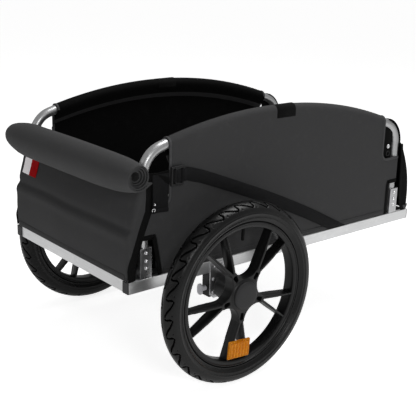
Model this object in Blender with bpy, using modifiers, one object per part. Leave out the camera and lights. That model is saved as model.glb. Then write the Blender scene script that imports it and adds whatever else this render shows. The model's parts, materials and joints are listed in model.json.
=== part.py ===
"""Folding bike cargo trailer, modelled piece by piece.

Metres, +Z up, +X towards the bike, +Y to the trailer's left. The origin lies on the ground under the
middle of the bed. Every piece is one named object; a moving piece hangs under an empty on its joint's axis.
"""
import math

import bmesh
import bpy
from mathutils import Matrix, Vector

# Driving dimensions in metres: bed frame
BED_OVERHANG = 0.053              # rails beyond the uprights' middles, the mean of rear and front
BED_WIDTH = 0.460
RAIL_BOTTOM = 0.232
RAIL_HEIGHT = 0.025
RAIL_WIDTH = 0.020
RAIL_WALL = 0.002
PLUG_HEAD = 0.002
PLUG_TONGUE = 0.012
CROSS_RAIL_X = 0.020
FLOOR_THICKNESS = 0.003
FLOOR_END_MARGIN = 0.018
GAP = 0.0003                      # clearance between pieces that touch
RUNNING = 0.0003                  # radial clearance of a pin in its bore

# Side frames: bent tube, brackets and pivots
TUBE_RADIUS = 0.011
UPRIGHT_SPAN = 0.774              # between the two uprights of a side frame
FRAME_SHIFT = -0.008              # the side frames' middle, from the bed's middle
ARCH_TOP = 0.5610                 # centre of the tube at the top of the arch
ARCH_RADIUS = 1.130
ARCH_SHIFT = -0.042               # the arch's highest point, from the side frame's middle
CORNER_RADIUS = 0.055
PIVOT_HEIGHT_RIGHT = 0.308        # above the left one, so that the folded sides lie on each other
PIVOT_HEIGHT_LEFT = 0.2745
BRACKET_WIDTH = 0.0276
BRACKET_DEPTH = 0.0245
BRACKET_HEIGHT = 0.064
BRACKET_SHEET = 0.0025
BRACKET_FOOT = 0.020              # how far the base tongue runs out beyond the channel
HINGE_PIN_RADIUS = 0.003
HINGE_PIN_HEAD = 0.0045
TUBE_WALL = 0.0018
RIVET_HIGH = 0.311
RIVET_MIDDLE = 0.294
RIVET_LOW = 0.279
RIVET_HEAD_RADIUS = 0.0035
RIVET_HEAD = 0.002
SCREW_RADIUS = 0.002
SCREW_HEAD_RADIUS = 0.004
SCREW_HEAD = 0.0025

# Fabric
CLOTH = 0.0025
CLOTH_FOOT = RAIL_BOTTOM + RAIL_HEIGHT + 0.0012   # lower edge of the rear panel, just above its rail
SIDE_CLOTH = 0.0018
SLEEVE_EASE = 0.0007              # radial room between a sleeve and its tube
SLEEVE_WALL = 0.0011
SLEEVE_MARGIN = 0.056             # from an upright's middle to where the arch's sleeve stops
ARCH_POINTS = 11
PANEL_HEM = 0.262                 # lower edge of the side panels
WINDOW_BOTTOM = 0.404
WINDOW_CORNER = 0.016
CUTOUT_TOP = 0.336
CUTOUT_REAR = 0.016               # from the rear upright's middle to the top of its bracket cut-out
CUTOUT_FLARE = 0.016              # how far that cut-out widens towards the hem
CUTOUT_FRONT = 0.0235             # the front cut-out's edge is upright
WEBBING_WIDTH = 0.027
WEBBING = 0.002
STRAP_INSET = 0.089               # from the rear upright to the strap's upper end at its buckle
STRAP_TOP_Z = 0.463
STRAP_MIDDLE_X = 0.1515
STRAP_MIDDLE_Z = 0.407
STRAP_FOOT_X = 0.180              # ahead of the bed's middle
STRAP_FOOT_Z = 0.252
STRAP_BEYOND_FOOT = 0.060
BUCKLE_WIDTH = 0.032
BUCKLE_HEIGHT = 0.040
BUCKLE_THICKNESS = 0.006
BUCKLE_CHAMFER = 0.005
BUCKLE_DROP = 0.003
FLAP_BOTTOM = 0.392
FLAP_TOP = 0.476
FLAP_WIDTH = 0.040
FLAP_TAB = 0.030
FLAP_SLANT = 0.003
REAR_PANEL_LEAN = 0.027           # how far the panel leans forward between rail and roll
REAR_PANEL_CURVE = 2.2            # the lean grows with this power of the height
REAR_PANEL_UPRIGHT = 0.96         # share of the height above which the panel stands upright
REAR_PANEL_SAG = 0.0045           # how far the lower part hangs out rearwards
REAR_PANEL_BULGE = 0.006
REAR_CREASE_HEIGHT = 0.350
REAR_CREASE = 0.003
FRONT_PANEL_TOP = 0.437
FRONT_PANEL_LEAN = 0.0427
FRONT_PANEL_CURVE = 2.4
FRONT_PANEL_BULGE = 0.009
PANEL_HALF_WIDTH = 0.2285
ROLL_RADIUS = 0.0395
ROLL_CORE = 0.009
ROLL_TURNS = 4.25
ROLL_CLOTH = 0.0045
ROLL_TAIL = 0.0188                # free cloth between the roll and the rear panel
ROLL_LENGTH = 0.490
ROLL_MIDDLE = -0.025
ROLL_HEIGHT = 0.4805
ROLL_OVER_PANEL = 0.0215          # from the roll's middle down to the rear panel's upper edge
REFLECTOR_STRIP_WIDTH = 0.032
REFLECTOR_STRIP_HEIGHT = 0.052
REFLECTOR_STRIP_DROP = 0.0925     # from the roll's middle down to the strip's lower edge
REFLECTOR_STRIP_Y = 0.1775        # the line where red meets white
REFLECTOR_STRIP_SHEET = 0.001
REFLECTOR_STRIP_STAND = 0.0018    # from the panel's face to the strip's

# Wheels and axles
WHEEL_RADIUS = 0.200
WHEEL_SEGMENTS = 36
TRACK = 0.586                     # between the wheels' middle planes
AXLE_X = -0.200
TYRE_WIDTH = 0.048
TYRE_WALL = 0.003
TYRE_TREAD_WALL = 0.0045
RIM_RADIUS = 0.159
RIM_BED_RADIUS = 0.1545
RIM_INNER_RADIUS = 0.1465
RIM_HALF_WIDTH = 0.0165
HUB_RADIUS = 0.028
HUB_FACE = 0.0195                 # outer face of the hub, from the wheel's middle plane
HUB_CLEARANCE = 0.0057            # between the axle plate and the hub's inner end
BUSH_RADIUS = 0.0095
BUSH_FACE = 0.0115                # the bush's outer face, from the wheel's middle plane
NUT_RECESS = 0.0130
AXLE_RADIUS = 0.006
AXLE_NECK_RADIUS = 0.0042
AXLE_NECK = 0.0096
NUT_RADIUS = 0.0095
NUT_THICKNESS = 0.0055
CAP_RADIUS = 0.031
CAP_THICKNESS = 0.0052
SPOKE_PAIRS = 5
SPOKE_PHASE = math.radians(-23.1)
SPOKE_SPLIT = math.radians(16)    # between a spoke and the middle line of its pair
SPOKE_FORK = 0.050                # where the two spokes of a pair meet, from the axle
SPOKE_START = 0.0055               # how far beyond that point each blade begins
SPOKE_DEPTH = 0.024
SPOKE_HALF_WIDTH = 0.0042
LOBE_RADIUS = 0.058
LOBE_HALF_TURN = math.radians(7.5)
LOBE_HOLLOW = 0.0726              # middle of the round hollow between two lobes, from the axle
LOBE_THICKNESS = 0.011
LOBE_SLOT_RADIUS = 0.0475
VALVE_RADIUS = 0.0042
VALVE_TIP = 0.118
VALVE_ANGLE = math.radians(88)
WHEEL_REFLECTOR_SIZE = (0.060, 0.041, 0.0065)
WHEEL_REFLECTOR_RADIUS = 0.1205
PLATE_THICKNESS = 0.003
PLATE_HALF_WIDTH = 0.030
PLATE_BOTTOM = 0.0274             # below the axle
PLATE_ON_RAIL = 0.0215            # how far up the rail's face the plate reaches
BLOCK_DEPTH = 0.025
BLOCK_BOTTOM = 0.0255             # below the axle
BOLT_RADIUS = 0.002
BOLT_HEAD_RADIUS = 0.0042
BOLT_HEAD = 0.003
PLUNGER_RADIUS = 0.004
PLUNGER_DROP = 0.006              # below the axle
KNOB_SIZE = (0.004, 0.015, 0.025)
KNOB_REACH = 0.047                # rear face of the release knob, behind the axle

# Tow arm, folded under the bed
ARM_Y = 0.120
ARM_PIVOT_AHEAD = 0.0278          # from the front rail's face to the arm's pivot
ARM_PIVOT_Z = 0.2115
ARM_RADIUS = 0.0125
ARM_LENGTH = 0.560
CHEEK_THICKNESS = 0.003
CHEEK_RADIUS = 0.0195             # a little over the clamp knob's, so that the nose rests on the bracket
ARM_BOLT_RADIUS = 0.004
CLAMP_KNOB_RADIUS = 0.018
CLAMP_KNOB_THICKNESS = 0.014
FLEX_RADIUS = 0.015
FLEX_LENGTH = 0.052
HITCH_LENGTH = 0.062
HITCH_TINE = 0.004
HITCH_MOUTH = 0.011
HITCH_TONGUE = 0.0084
HITCH_PIN_RADIUS = 0.004

# Sizes worked out from the ones above
BED_LENGTH = UPRIGHT_SPAN + 2 * BED_OVERHANG
RAIL_TOP = RAIL_BOTTOM + RAIL_HEIGHT
FRONT_PANEL_FOOT = RAIL_TOP + 0.0008
RAIL_OUTER = BED_WIDTH / 2
RAIL_INNER = RAIL_OUTER - RAIL_WIDTH
RAIL_END = BED_LENGTH / 2 - PLUG_HEAD - GAP
SHEET_OUTER = RAIL_OUTER - 0.0012                  # outer face of bracket webs and side panels
TUBE_Y = SHEET_OUTER - BRACKET_SHEET - GAP - TUBE_RADIUS
UPRIGHT_X = (FRAME_SHIFT - UPRIGHT_SPAN / 2, FRAME_SHIFT + UPRIGHT_SPAN / 2)
SLEEVE_RADIUS = TUBE_RADIUS + SLEEVE_EASE + SLEEVE_WALL
SLEEVE_END = UPRIGHT_SPAN / 2 - SLEEVE_MARGIN
ROLL_X = UPRIGHT_X[0] - SLEEVE_RADIUS - GAP - ROLL_RADIUS
PLATE_INNER = RAIL_OUTER + GAP
PLATE_OUTER = PLATE_INNER + PLATE_THICKNESS
BLOCK_OUTER = RAIL_OUTER
BLOCK_MIDDLE = BLOCK_OUTER - BLOCK_DEPTH / 2
WHEEL_Y = TRACK / 2
ARM_PIVOT_X = RAIL_END + ARM_PIVOT_AHEAD
HUB_INNER_END = PLATE_OUTER + HUB_CLEARANCE - WHEEL_Y
REAR_PANEL_TOP = ROLL_HEIGHT - ROLL_OVER_PANEL
REFLECTOR_STRIP_BOTTOM = ROLL_HEIGHT - REFLECTOR_STRIP_DROP
PIVOT_HEIGHT = {"right": PIVOT_HEIGHT_RIGHT, "left": PIVOT_HEIGHT_LEFT}
RIVET_HEIGHTS = (RIVET_HIGH, RIVET_MIDDLE, RIVET_LOW)
STRAP_TOP = (UPRIGHT_X[0] + STRAP_INSET, STRAP_TOP_Z)
STRAP_MIDDLE = (-STRAP_MIDDLE_X, STRAP_MIDDLE_Z)
STRAP_FOOT = (STRAP_FOOT_X, STRAP_FOOT_Z)
STRAP_POINTS = (STRAP_TOP, STRAP_MIDDLE, STRAP_FOOT)

SIDES = (("right", -1), ("left", 1))
ENDS = (("rear", -1), ("front", 1))

for stale in list(bpy.data.objects):
    bpy.data.objects.remove(stale, do_unlink=True)

scene = bpy.context.scene
parts = bpy.data.collections.new("bike_cargo_trailer")
cutters = bpy.data.collections.new("cutters")
scene.collection.children.link(parts)
scene.collection.children.link(cutters)


def material(name, colour, roughness, metallic=0.0):
    """A Principled material with the finish of one kind of piece."""
    made = bpy.data.materials.new(name)
    made.use_nodes = True
    shader = made.node_tree.nodes["Principled BSDF"]
    shader.inputs["Base Color"].default_value = (*colour, 1.0)
    shader.inputs["Roughness"].default_value = roughness
    shader.inputs["Metallic"].default_value = metallic
    made.diffuse_color = (*colour, 1.0)
    return made


FINISHES = {
    "aluminium": ((0.62, 0.63, 0.64), 0.35, 1.0),
    "steel": ((0.55, 0.56, 0.57), 0.30, 1.0),
    "bright_steel": ((0.75, 0.75, 0.76), 0.20, 1.0),
    "black_fabric": ((0.030, 0.030, 0.032), 0.90, 0.0),
    "grey_fabric": ((0.045, 0.045, 0.048), 0.85, 0.0),
    "webbing": ((0.012, 0.012, 0.013), 0.80, 0.0),
    "black_plastic": ((0.015, 0.015, 0.016), 0.45, 0.0),
    "wheel_plastic": ((0.020, 0.020, 0.021), 0.38, 0.0),
    "plug_plastic": ((0.16, 0.16, 0.165), 0.50, 0.0),
    "tyre_rubber": ((0.018, 0.018, 0.018), 0.60, 0.0),
    "tube_rubber": ((0.025, 0.025, 0.025), 0.55, 0.0),
    "amber_lens": ((0.85, 0.32, 0.02), 0.25, 0.0),
    "red_lens": ((0.60, 0.02, 0.02), 0.30, 0.0),
    "pale_plastic": ((0.72, 0.72, 0.76), 0.35, 0.0),
}


def own_material(obj, finish):
    """Give a piece its own copy of a finish, named after the piece."""
    colour, roughness, metallic = FINISHES[finish]
    obj.data.materials.clear()
    obj.data.materials.append(material(obj.name + "_" + finish, colour, roughness, metallic))
    return obj


def place(obj, name, finish=None, parent=None):
    """Name a piece, file it with the parts and hang it under its joint's empty."""
    obj.name = name
    obj.data.name = name
    for holder in list(obj.users_collection):
        holder.objects.unlink(obj)
    parts.objects.link(obj)
    if finish:
        own_material(obj, finish)
    if parent:
        obj.parent = parent
        obj.matrix_parent_inverse = parent.matrix_world.inverted()
    return obj


def pivot(name, location, parent=None):
    """An empty on a joint's axis."""
    empty = bpy.data.objects.new(name, None)
    empty.empty_display_size = 0.03
    empty.location = location
    parts.objects.link(empty)
    bpy.context.view_layer.update()
    if parent:
        empty.parent = parent
        empty.matrix_parent_inverse = parent.matrix_world.inverted()
        bpy.context.view_layer.update()
    return empty


def mesh_object(mesh, location=(0, 0, 0), rotation=(0, 0, 0)):
    obj = bpy.data.objects.new("piece", mesh)
    obj.location = location
    obj.rotation_euler = rotation
    scene.collection.objects.link(obj)
    return obj


def box(size, location, rotation=(0, 0, 0)):
    """A block of a given size, centred on its location."""
    shape = bmesh.new()
    bmesh.ops.create_cube(shape, size=1.0)
    bmesh.ops.scale(shape, vec=size, verts=shape.verts)
    mesh = bpy.data.meshes.new("box")
    shape.to_mesh(mesh)
    shape.free()
    return mesh_object(mesh, location, rotation)


TURN = {"X": (0, math.pi / 2, 0), "Y": (math.pi / 2, 0, 0), "Z": (0, 0, 0)}


def rod(radius, start, end, axis, middle, sides=16):
    """A round bar along a world axis from start to end; middle gives its place across the axis."""
    shape = bmesh.new()
    bmesh.ops.create_cone(shape, cap_ends=True, segments=sides, radius1=radius, radius2=radius,
                          depth=abs(end - start))
    mesh = bpy.data.meshes.new("rod")
    shape.to_mesh(mesh)
    shape.free()
    centre = (start + end) / 2
    where = {"X": (centre, *middle), "Y": (middle[0], centre, middle[1]), "Z": (*middle, centre)}[axis]
    return smooth(mesh_object(mesh, where, TURN[axis]))


def smooth(obj, angle=math.radians(35)):
    """Shade a round piece smooth, with its real edges kept sharp."""
    obj.data.shade_smooth()
    obj.data.set_sharp_from_angle(angle=angle)
    return obj


def arc(centre, radius, start, end, count):
    """Points on an arc in a plane, angles in radians."""
    steps = [start + (end - start) * i / (count - 1) for i in range(count)]
    return [(centre[0] + radius * math.cos(a), centre[1] + radius * math.sin(a)) for a in steps]


def circle(centre, radius, count=12):
    return arc(centre, radius, 0, 2 * math.pi * (count - 1) / count, count)


PLANES = {
    "XY": Matrix.Identity(3),
    "XZ": Matrix(((1, 0, 0), (0, 0, -1), (0, 1, 0))),
    "YZ": Matrix(((0, 0, 1), (1, 0, 0), (0, 1, 0))),
}


def flat(loops, thickness, plane, offset):
    """A flat outline with holes, as thick as given, centred at offset along the plane's normal."""
    curve = bpy.data.curves.new("flat", "CURVE")
    curve.dimensions = "2D"
    curve.fill_mode = "BOTH"
    curve.extrude = thickness / 2
    for loop in loops:
        spline = curve.splines.new("POLY")
        spline.points.add(len(loop) - 1)
        for point, (u, v) in zip(spline.points, loop):
            point.co = (u, v, 0, 1)
        spline.use_cyclic_u = True
    obj = bpy.data.objects.new("flat", curve)
    turn = PLANES[plane].to_4x4()
    obj.rotation_euler = turn.to_euler()
    obj.location = {"XY": (0, 0, offset), "XZ": (0, offset, 0), "YZ": (offset, 0, 0)}[plane]
    scene.collection.objects.link(obj)
    return obj


def tube(points, radius, sides=12):
    """A round tube along a polyline, with closed ends."""
    curve = bpy.data.curves.new("tube", "CURVE")
    curve.dimensions = "3D"
    curve.bevel_depth = radius
    curve.bevel_resolution = sides // 2 - 2
    curve.use_fill_caps = True
    spline = curve.splines.new("POLY")
    spline.points.add(len(points) - 1)
    for point, where in zip(spline.points, points):
        point.co = (*where, 1)
    obj = bpy.data.objects.new("tube", curve)
    scene.collection.objects.link(obj)
    return obj


def to_mesh(obj):
    """Turn a curve, or a mesh with modifiers, into a plain welded mesh object."""
    bpy.context.view_layer.update()
    graph = bpy.context.evaluated_depsgraph_get()
    mesh = bpy.data.meshes.new_from_object(obj.evaluated_get(graph))
    shape = bmesh.new()
    shape.from_mesh(mesh)
    bmesh.ops.remove_doubles(shape, verts=shape.verts, dist=0.00001)
    shape.to_mesh(mesh)
    shape.free()
    made = bpy.data.objects.new(obj.name, mesh)
    made.matrix_world = obj.matrix_world
    scene.collection.objects.link(made)
    bpy.data.objects.remove(obj, do_unlink=True)
    return made


def turned(profile, steps, location=(0, 0, 0), rotation=(0, 0, 0)):
    """A ring or solid turned about local Z from a closed (radius, height) profile.

    The profile runs down its outer side, from top to bottom. A solid's profile starts and ends on the axis.
    """
    shape = bmesh.new()
    points = [shape.verts.new((radius, 0, height)) for radius, height in profile]
    closed = profile[0][0] > 0
    for here, after in zip(points, points[1:]):
        shape.edges.new((here, after))
    if closed:
        shape.edges.new((points[-1], points[0]))
    mesh = bpy.data.meshes.new("turned")
    shape.to_mesh(mesh)
    shape.free()
    obj = mesh_object(mesh, location, rotation)
    screw = obj.modifiers.new("Screw", "SCREW")
    screw.steps = steps
    screw.render_steps = steps
    screw.use_merge_vertices = True
    screw.merge_threshold = 0.00005
    screw.use_smooth_shade = True
    return obj


def as_cutter(obj, name):
    obj.name = name
    for holder in list(obj.users_collection):
        holder.objects.unlink(obj)
    cutters.objects.link(obj)
    obj.hide_render = True
    obj.display_type = "WIRE"
    return obj


def combine(obj, other, operation, name):
    """Cut, join or trim a mesh with another one, which stays as a wire guide."""
    as_cutter(other, name)
    modifier = obj.modifiers.new(name, "BOOLEAN")
    modifier.operation = operation
    modifier.solver = "EXACT"
    modifier.object = other
    return obj


def joined(objects):
    """Several separate bodies as one mesh object, in world space."""
    bpy.context.view_layer.update()
    whole = bmesh.new()
    for obj in objects:
        mesh = obj.data.copy()
        mesh.transform(obj.matrix_world)
        whole.from_mesh(mesh)
        bpy.data.meshes.remove(mesh)
        bpy.data.objects.remove(obj, do_unlink=True)
    mesh = bpy.data.meshes.new("joined")
    whole.to_mesh(mesh)
    whole.free()
    return mesh_object(mesh)


def bevel(obj, width, segments=1, angle=math.radians(40)):
    modifier = obj.modifiers.new("Bevel", "BEVEL")
    modifier.width = width
    modifier.segments = segments
    modifier.limit_method = "ANGLE"
    modifier.angle_limit = angle
    return obj


# Bed frame
def rail(length, axis, middle, holes=()):
    """A rectangular tube along X or Y; middle is its centre across that axis and in height."""
    width = RAIL_WIDTH / 2
    height = RAIL_HEIGHT / 2
    outer = [(-width, -height), (width, -height), (width, height), (-width, height)]
    inner = [(u * (1 - RAIL_WALL / width), v * (1 - RAIL_WALL / height)) for u, v in outer]
    across, along, up = middle
    if axis == "X":
        loops = [[(across + u, up + v) for u, v in loop] for loop in (outer, inner)]
        obj = flat(loops, length, "YZ", along)
    else:
        loops = [[(across + u, up + v) for u, v in loop] for loop in (outer, inner)]
        obj = flat(loops, length, "XZ", along)
    obj = to_mesh(obj)
    if holes:
        combine(obj, joined(holes), "DIFFERENCE", "rail_holes")
    return obj


def plate_bolt_spots():
    """Where bolts pass through an axle plate: into the receiver block, then into the rail."""
    block = [(AXLE_X + dx, WHEEL_RADIUS + dz) for dx in (-0.0215, 0.0215) for dz in (0.0165, -0.0145)]
    on_rail = [(AXLE_X + dx, RAIL_BOTTOM + RAIL_HEIGHT / 2) for dx in (-0.018, 0.004)]
    return block, on_rail


def side_rails():
    height = RAIL_BOTTOM + RAIL_HEIGHT / 2
    for side, sign in SIDES:
        holes = []
        for x in base_screw_xs():
            holes.append(rod(SCREW_RADIUS + GAP, RAIL_TOP - 2 * RAIL_WALL, RAIL_TOP + 0.001, "Z",
                             (x, sign * TUBE_Y), 10))
        for x, z in plate_bolt_spots()[1]:
            holes.append(rod(BOLT_RADIUS + GAP, sign * (RAIL_OUTER + 0.001), sign * (RAIL_OUTER - 2 * RAIL_WALL),
                             "Y", (x, z), 10))
        obj = rail(2 * RAIL_END, "X", (sign * (RAIL_OUTER - RAIL_WIDTH / 2), 0, height), holes)
        place(obj, "side_rail_" + side, "aluminium")


def end_rails():
    height = RAIL_BOTTOM + RAIL_HEIGHT / 2
    length = 2 * (RAIL_INNER - GAP)
    for end, sign in ENDS:
        holes = []
        if end == "front":
            for y in bracket_bolt_ys():
                holes.append(rod(BOLT_RADIUS + GAP, RAIL_END + 0.001, RAIL_END - 2 * RAIL_WALL, "X",
                                 (y, height), 10))
        obj = rail(length, "Y", (sign * (RAIL_END - RAIL_WIDTH / 2), 0, height), holes)
        place(obj, end + "_rail", "aluminium")


def cross_rail():
    obj = rail(2 * (RAIL_INNER - GAP), "Y", (CROSS_RAIL_X, 0, RAIL_BOTTOM + RAIL_HEIGHT / 2))
    place(obj, "cross_rail", "aluminium")


def end_plugs():
    """A plug in each open rail end: a flat head and a tongue that fits the rail's bore."""
    height = RAIL_BOTTOM + RAIL_HEIGHT / 2
    shrink = 2 * (RAIL_WALL + GAP)
    for side, y_sign in SIDES:
        y = y_sign * (RAIL_OUTER - RAIL_WIDTH / 2)
        for end, x_sign in ENDS:
            head = box((PLUG_HEAD, RAIL_WIDTH, RAIL_HEIGHT), (x_sign * (BED_LENGTH / 2 - PLUG_HEAD / 2), y, height))
            middle = BED_LENGTH / 2 - PLUG_HEAD / 2 - PLUG_TONGUE / 2
            tongue = box((PLUG_TONGUE, RAIL_WIDTH - shrink, RAIL_HEIGHT - shrink), (x_sign * middle, y, height))
            combine(head, tongue, "UNION", "plug_tongue")
            place(to_mesh(head), "rail_plug_" + end + "_" + side, "plug_plastic")


def floor():
    half_width = SHEET_OUTER - BRACKET_DEPTH - 0.001
    length = 2 * (RAIL_END - FLOOR_END_MARGIN)
    obj = box((length, 2 * half_width, FLOOR_THICKNESS), (0, 0, RAIL_TOP + GAP + FLOOR_THICKNESS / 2))
    place(obj, "floor_panel", "black_fabric")


# Upright brackets, pins and fasteners
def bracket_x(end_sign):
    return UPRIGHT_X[0] if end_sign < 0 else UPRIGHT_X[1]


def base_screw_xs():
    """A base screw sits on each bracket's tongue, which points to the near end of the rail."""
    reach = BRACKET_WIDTH / 2 + BRACKET_FOOT / 2
    return [bracket_x(sign) + sign * reach for _, sign in ENDS]


def brackets():
    bottom = RAIL_TOP + GAP
    half = BRACKET_WIDTH / 2
    for side, sign in SIDES:
        pivot_z = PIVOT_HEIGHT[side]
        for end, end_sign in ENDS:
            x = bracket_x(end_sign)
            web = sign * SHEET_OUTER
            lip = sign * (SHEET_OUTER - BRACKET_DEPTH)
            inside = sign * (SHEET_OUTER - BRACKET_SHEET)
            inner_half = half - BRACKET_SHEET
            outline = [(x - half, web), (x + half, web), (x + half, lip), (x + inner_half, lip),
                       (x + inner_half, inside), (x - inner_half, inside), (x - inner_half, lip), (x - half, lip)]
            obj = to_mesh(flat([outline], BRACKET_HEIGHT, "XY", bottom + BRACKET_HEIGHT / 2))
            foot_length = BRACKET_WIDTH + BRACKET_FOOT
            foot = box((foot_length, BRACKET_DEPTH, BRACKET_SHEET),
                       (x + end_sign * BRACKET_FOOT / 2, sign * (SHEET_OUTER - BRACKET_DEPTH / 2),
                        bottom + BRACKET_SHEET / 2))
            combine(obj, foot, "UNION", "bracket_foot")
            screw = headed_pin(SCREW_RADIUS, SCREW_HEAD_RADIUS, SCREW_HEAD, BRACKET_SHEET + GAP + RAIL_WALL,
                               (0, 0, 0), (x + end_sign * (half + BRACKET_FOOT / 2), sign * TUBE_Y,
                                           bottom + BRACKET_SHEET), 8, 0.0005)
            rivets = [headed_pin(RIVET_HEAD_RADIUS * 0.7, RIVET_HEAD_RADIUS, RIVET_HEAD, 0.001,
                                 OUTWARD[sign], (x, sign * SHEET_OUTER, z), 8, 0.0005) for z in RIVET_HEIGHTS]
            combine(obj, joined([screw] + rivets), "UNION", "bracket_fasteners")
            combine(obj, rod(HINGE_PIN_RADIUS + RUNNING, x - half - 0.001, x + half + 0.001, "X",
                             (sign * TUBE_Y, pivot_z), 12), "DIFFERENCE", "pin_holes")
            place(to_mesh(obj), "bracket_" + end + "_" + side, "steel")


def headed_pin(radius, head_radius, head, length, rotation, location, steps=12, sunk=0.0):
    """A pin along local Z: a domed head above z = 0, sunk a little below it, then the shank."""
    profile = [(0, head), (head_radius * 0.65, head * 0.9), (head_radius, head * 0.4), (head_radius, -sunk),
               (radius, -sunk), (radius, -length), (0, -length)]
    return to_mesh(turned(profile, steps, location, rotation))


OUTWARD = {-1: (math.pi / 2, 0, 0), 1: (-math.pi / 2, 0, 0)}     # turns +Z to point away from the bed


def hinge_pins():
    """Headed pins through the bracket flanges and the feet of the side frames, along X."""
    half = BRACKET_WIDTH / 2
    for side, sign in SIDES:
        for end, end_sign in ENDS:
            x = bracket_x(end_sign) + end_sign * (half + GAP)
            length = BRACKET_WIDTH + 2 * GAP + 0.0015
            pin = headed_pin(HINGE_PIN_RADIUS, HINGE_PIN_HEAD, 0.002, length, (0, end_sign * math.pi / 2, 0),
                             (x, sign * TUBE_Y, PIVOT_HEIGHT[side]))
            place(smooth(pin), "hinge_pin_" + end + "_" + side, "bright_steel")


# Side frames
def frame_line(x_from, x_to, count):
    """Points of the arch's centre line between two distances from its middle: (x, z)."""
    drop = ARCH_TOP - ARCH_RADIUS
    steps = [x_from + (x_to - x_from) * i / (count - 1) for i in range(count)]
    return [(FRAME_SHIFT + x, drop + math.sqrt(ARCH_RADIUS ** 2 - (x - ARCH_SHIFT) ** 2)) for x in steps]


def corner_bend(end):
    """Points of the bend that touches both an upright and the arch, from the upright up: (x, z)."""
    across = UPRIGHT_SPAN / 2 - CORNER_RADIUS
    from_top = across - end * ARCH_SHIFT
    rise = math.sqrt((ARCH_RADIUS - CORNER_RADIUS) ** 2 - from_top ** 2)
    lean = math.atan2(rise, from_top)
    bend = arc((across, ARCH_TOP - ARCH_RADIUS + rise), CORNER_RADIUS, 0, lean, 6)
    return [(FRAME_SHIFT + end * x, z) for x, z in bend]


def side_frame_points(y, lower_end):
    """Centre line of one bent side frame from its rear foot to its front foot."""
    front = list(reversed(corner_bend(1)))
    arch = frame_line(-SLEEVE_END, SLEEVE_END, ARCH_POINTS)
    line = [(UPRIGHT_X[0], lower_end)] + corner_bend(-1) + arch + front + [(UPRIGHT_X[1], lower_end)]
    return [(x, y, z) for x, z in line]


def foot_trim(x, y, pivot_z):
    """Cutter that rounds the lower end of an upright about its hinge pin."""
    reach = TUBE_RADIUS + 0.003
    notch = arc((y, pivot_z), TUBE_RADIUS + 0.0001, 2 * math.pi, math.pi, 9)
    outline = [(y - reach, pivot_z), (y - reach, pivot_z - 2 * reach), (y + reach, pivot_z - 2 * reach),
               (y + reach, pivot_z)] + notch
    return to_mesh(flat([outline], 2 * reach, "YZ", x))


def side_frame(side, sign, body):
    """One bent tube; its two lower ends are rounded and bored for the hinge pins."""
    y = sign * TUBE_Y
    pivot_z = PIVOT_HEIGHT[side]
    low = pivot_z - TUBE_RADIUS - 0.001
    obj = to_mesh(tube(side_frame_points(y, low), TUBE_RADIUS, 12))
    bore = to_mesh(tube(side_frame_points(y, low - 0.002), TUBE_RADIUS - TUBE_WALL, 8))
    combine(obj, bore, "DIFFERENCE", "tube_bore")
    for x in UPRIGHT_X:
        combine(obj, foot_trim(x, y, pivot_z), "DIFFERENCE", "foot_trim")
        combine(obj, rod(HINGE_PIN_RADIUS + RUNNING, x - 2 * TUBE_RADIUS, x + 2 * TUBE_RADIUS, "X",
                         (y, pivot_z), 12), "DIFFERENCE", "pin_bore")
    place(smooth(to_mesh(obj)), "side_frame_" + side, "aluminium", body)


def panel_outline():
    """Outer edge of a side panel in (x, z): hem with bracket cut-outs, windows and the arch."""
    middle = FRAME_SHIFT
    half = UPRIGHT_SPAN / 2
    edge = half + SLEEVE_RADIUS
    window = SLEEVE_END - 0.0012
    corner = (window + WINDOW_CORNER, WINDOW_BOTTOM + WINDOW_CORNER)
    round_corner = arc(corner, WINDOW_CORNER, math.pi, 1.5 * math.pi, 4)
    corner_edge = [(edge, CUTOUT_TOP + 0.002), (edge, WINDOW_BOTTOM)] + list(reversed(round_corner))
    front = [(half - CUTOUT_FRONT, PANEL_HEM), (half - CUTOUT_FRONT, CUTOUT_TOP)] + corner_edge
    rear = [(half - CUTOUT_REAR - CUTOUT_FLARE, PANEL_HEM), (half - CUTOUT_REAR, CUTOUT_TOP)] + corner_edge
    arch = [(x - middle, z + 0.003) for x, z in frame_line(window, -window, ARCH_POINTS + 1)]
    rear = [(-x, z) for x, z in reversed(rear)]
    return [(middle + x, z) for x, z in front + arch + rear]


def side_panel(side, sign, body):
    """Fabric side: a flat sheet outside the tube, sleeved over the arch and round the uprights."""
    y = sign * TUBE_Y
    sheet_y = sign * (SHEET_OUTER - SIDE_CLOTH / 2)
    obj = to_mesh(flat([panel_outline()], SIDE_CLOTH, "XZ", sheet_y))
    arch = [(x, y, z) for x, z in frame_line(-SLEEVE_END, SLEEVE_END, ARCH_POINTS)]
    first, second, last, before = Vector(arch[0]), Vector(arch[1]), Vector(arch[-1]), Vector(arch[-2])
    beyond = [tuple(first + 0.08 * (first - second))] + arch[1:-1] + [tuple(last + 0.08 * (last - before))]
    uprights = [[(x, y, CUTOUT_TOP + 0.001), (x, y, WINDOW_BOTTOM - 0.001)] for x in UPRIGHT_X]
    longer = [[(x, y, CUTOUT_TOP - 0.003), (x, y, WINDOW_BOTTOM + 0.003)] for x in UPRIGHT_X]
    skins = [to_mesh(tube(line, SLEEVE_RADIUS)) for line in [arch] + uprights]
    bores = [to_mesh(tube(line, TUBE_RADIUS + SLEEVE_EASE)) for line in [beyond] + longer]
    combine(obj, joined(skins), "UNION", "sleeves")
    combine(obj, joined(bores), "DIFFERENCE", "sleeve_bores")
    place(smooth(to_mesh(obj)), "side_panel_" + side, "grey_fabric", body)


def strap_height(x):
    """Height of the diagonal strap's middle: the parabola through its three points."""
    total = 0.0
    for i, (xi, zi) in enumerate(STRAP_POINTS):
        share = zi
        for j, (xj, _) in enumerate(STRAP_POINTS):
            if j != i:
                share *= (x - xj) / (xi - xj)
        total += share
    return total


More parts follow.
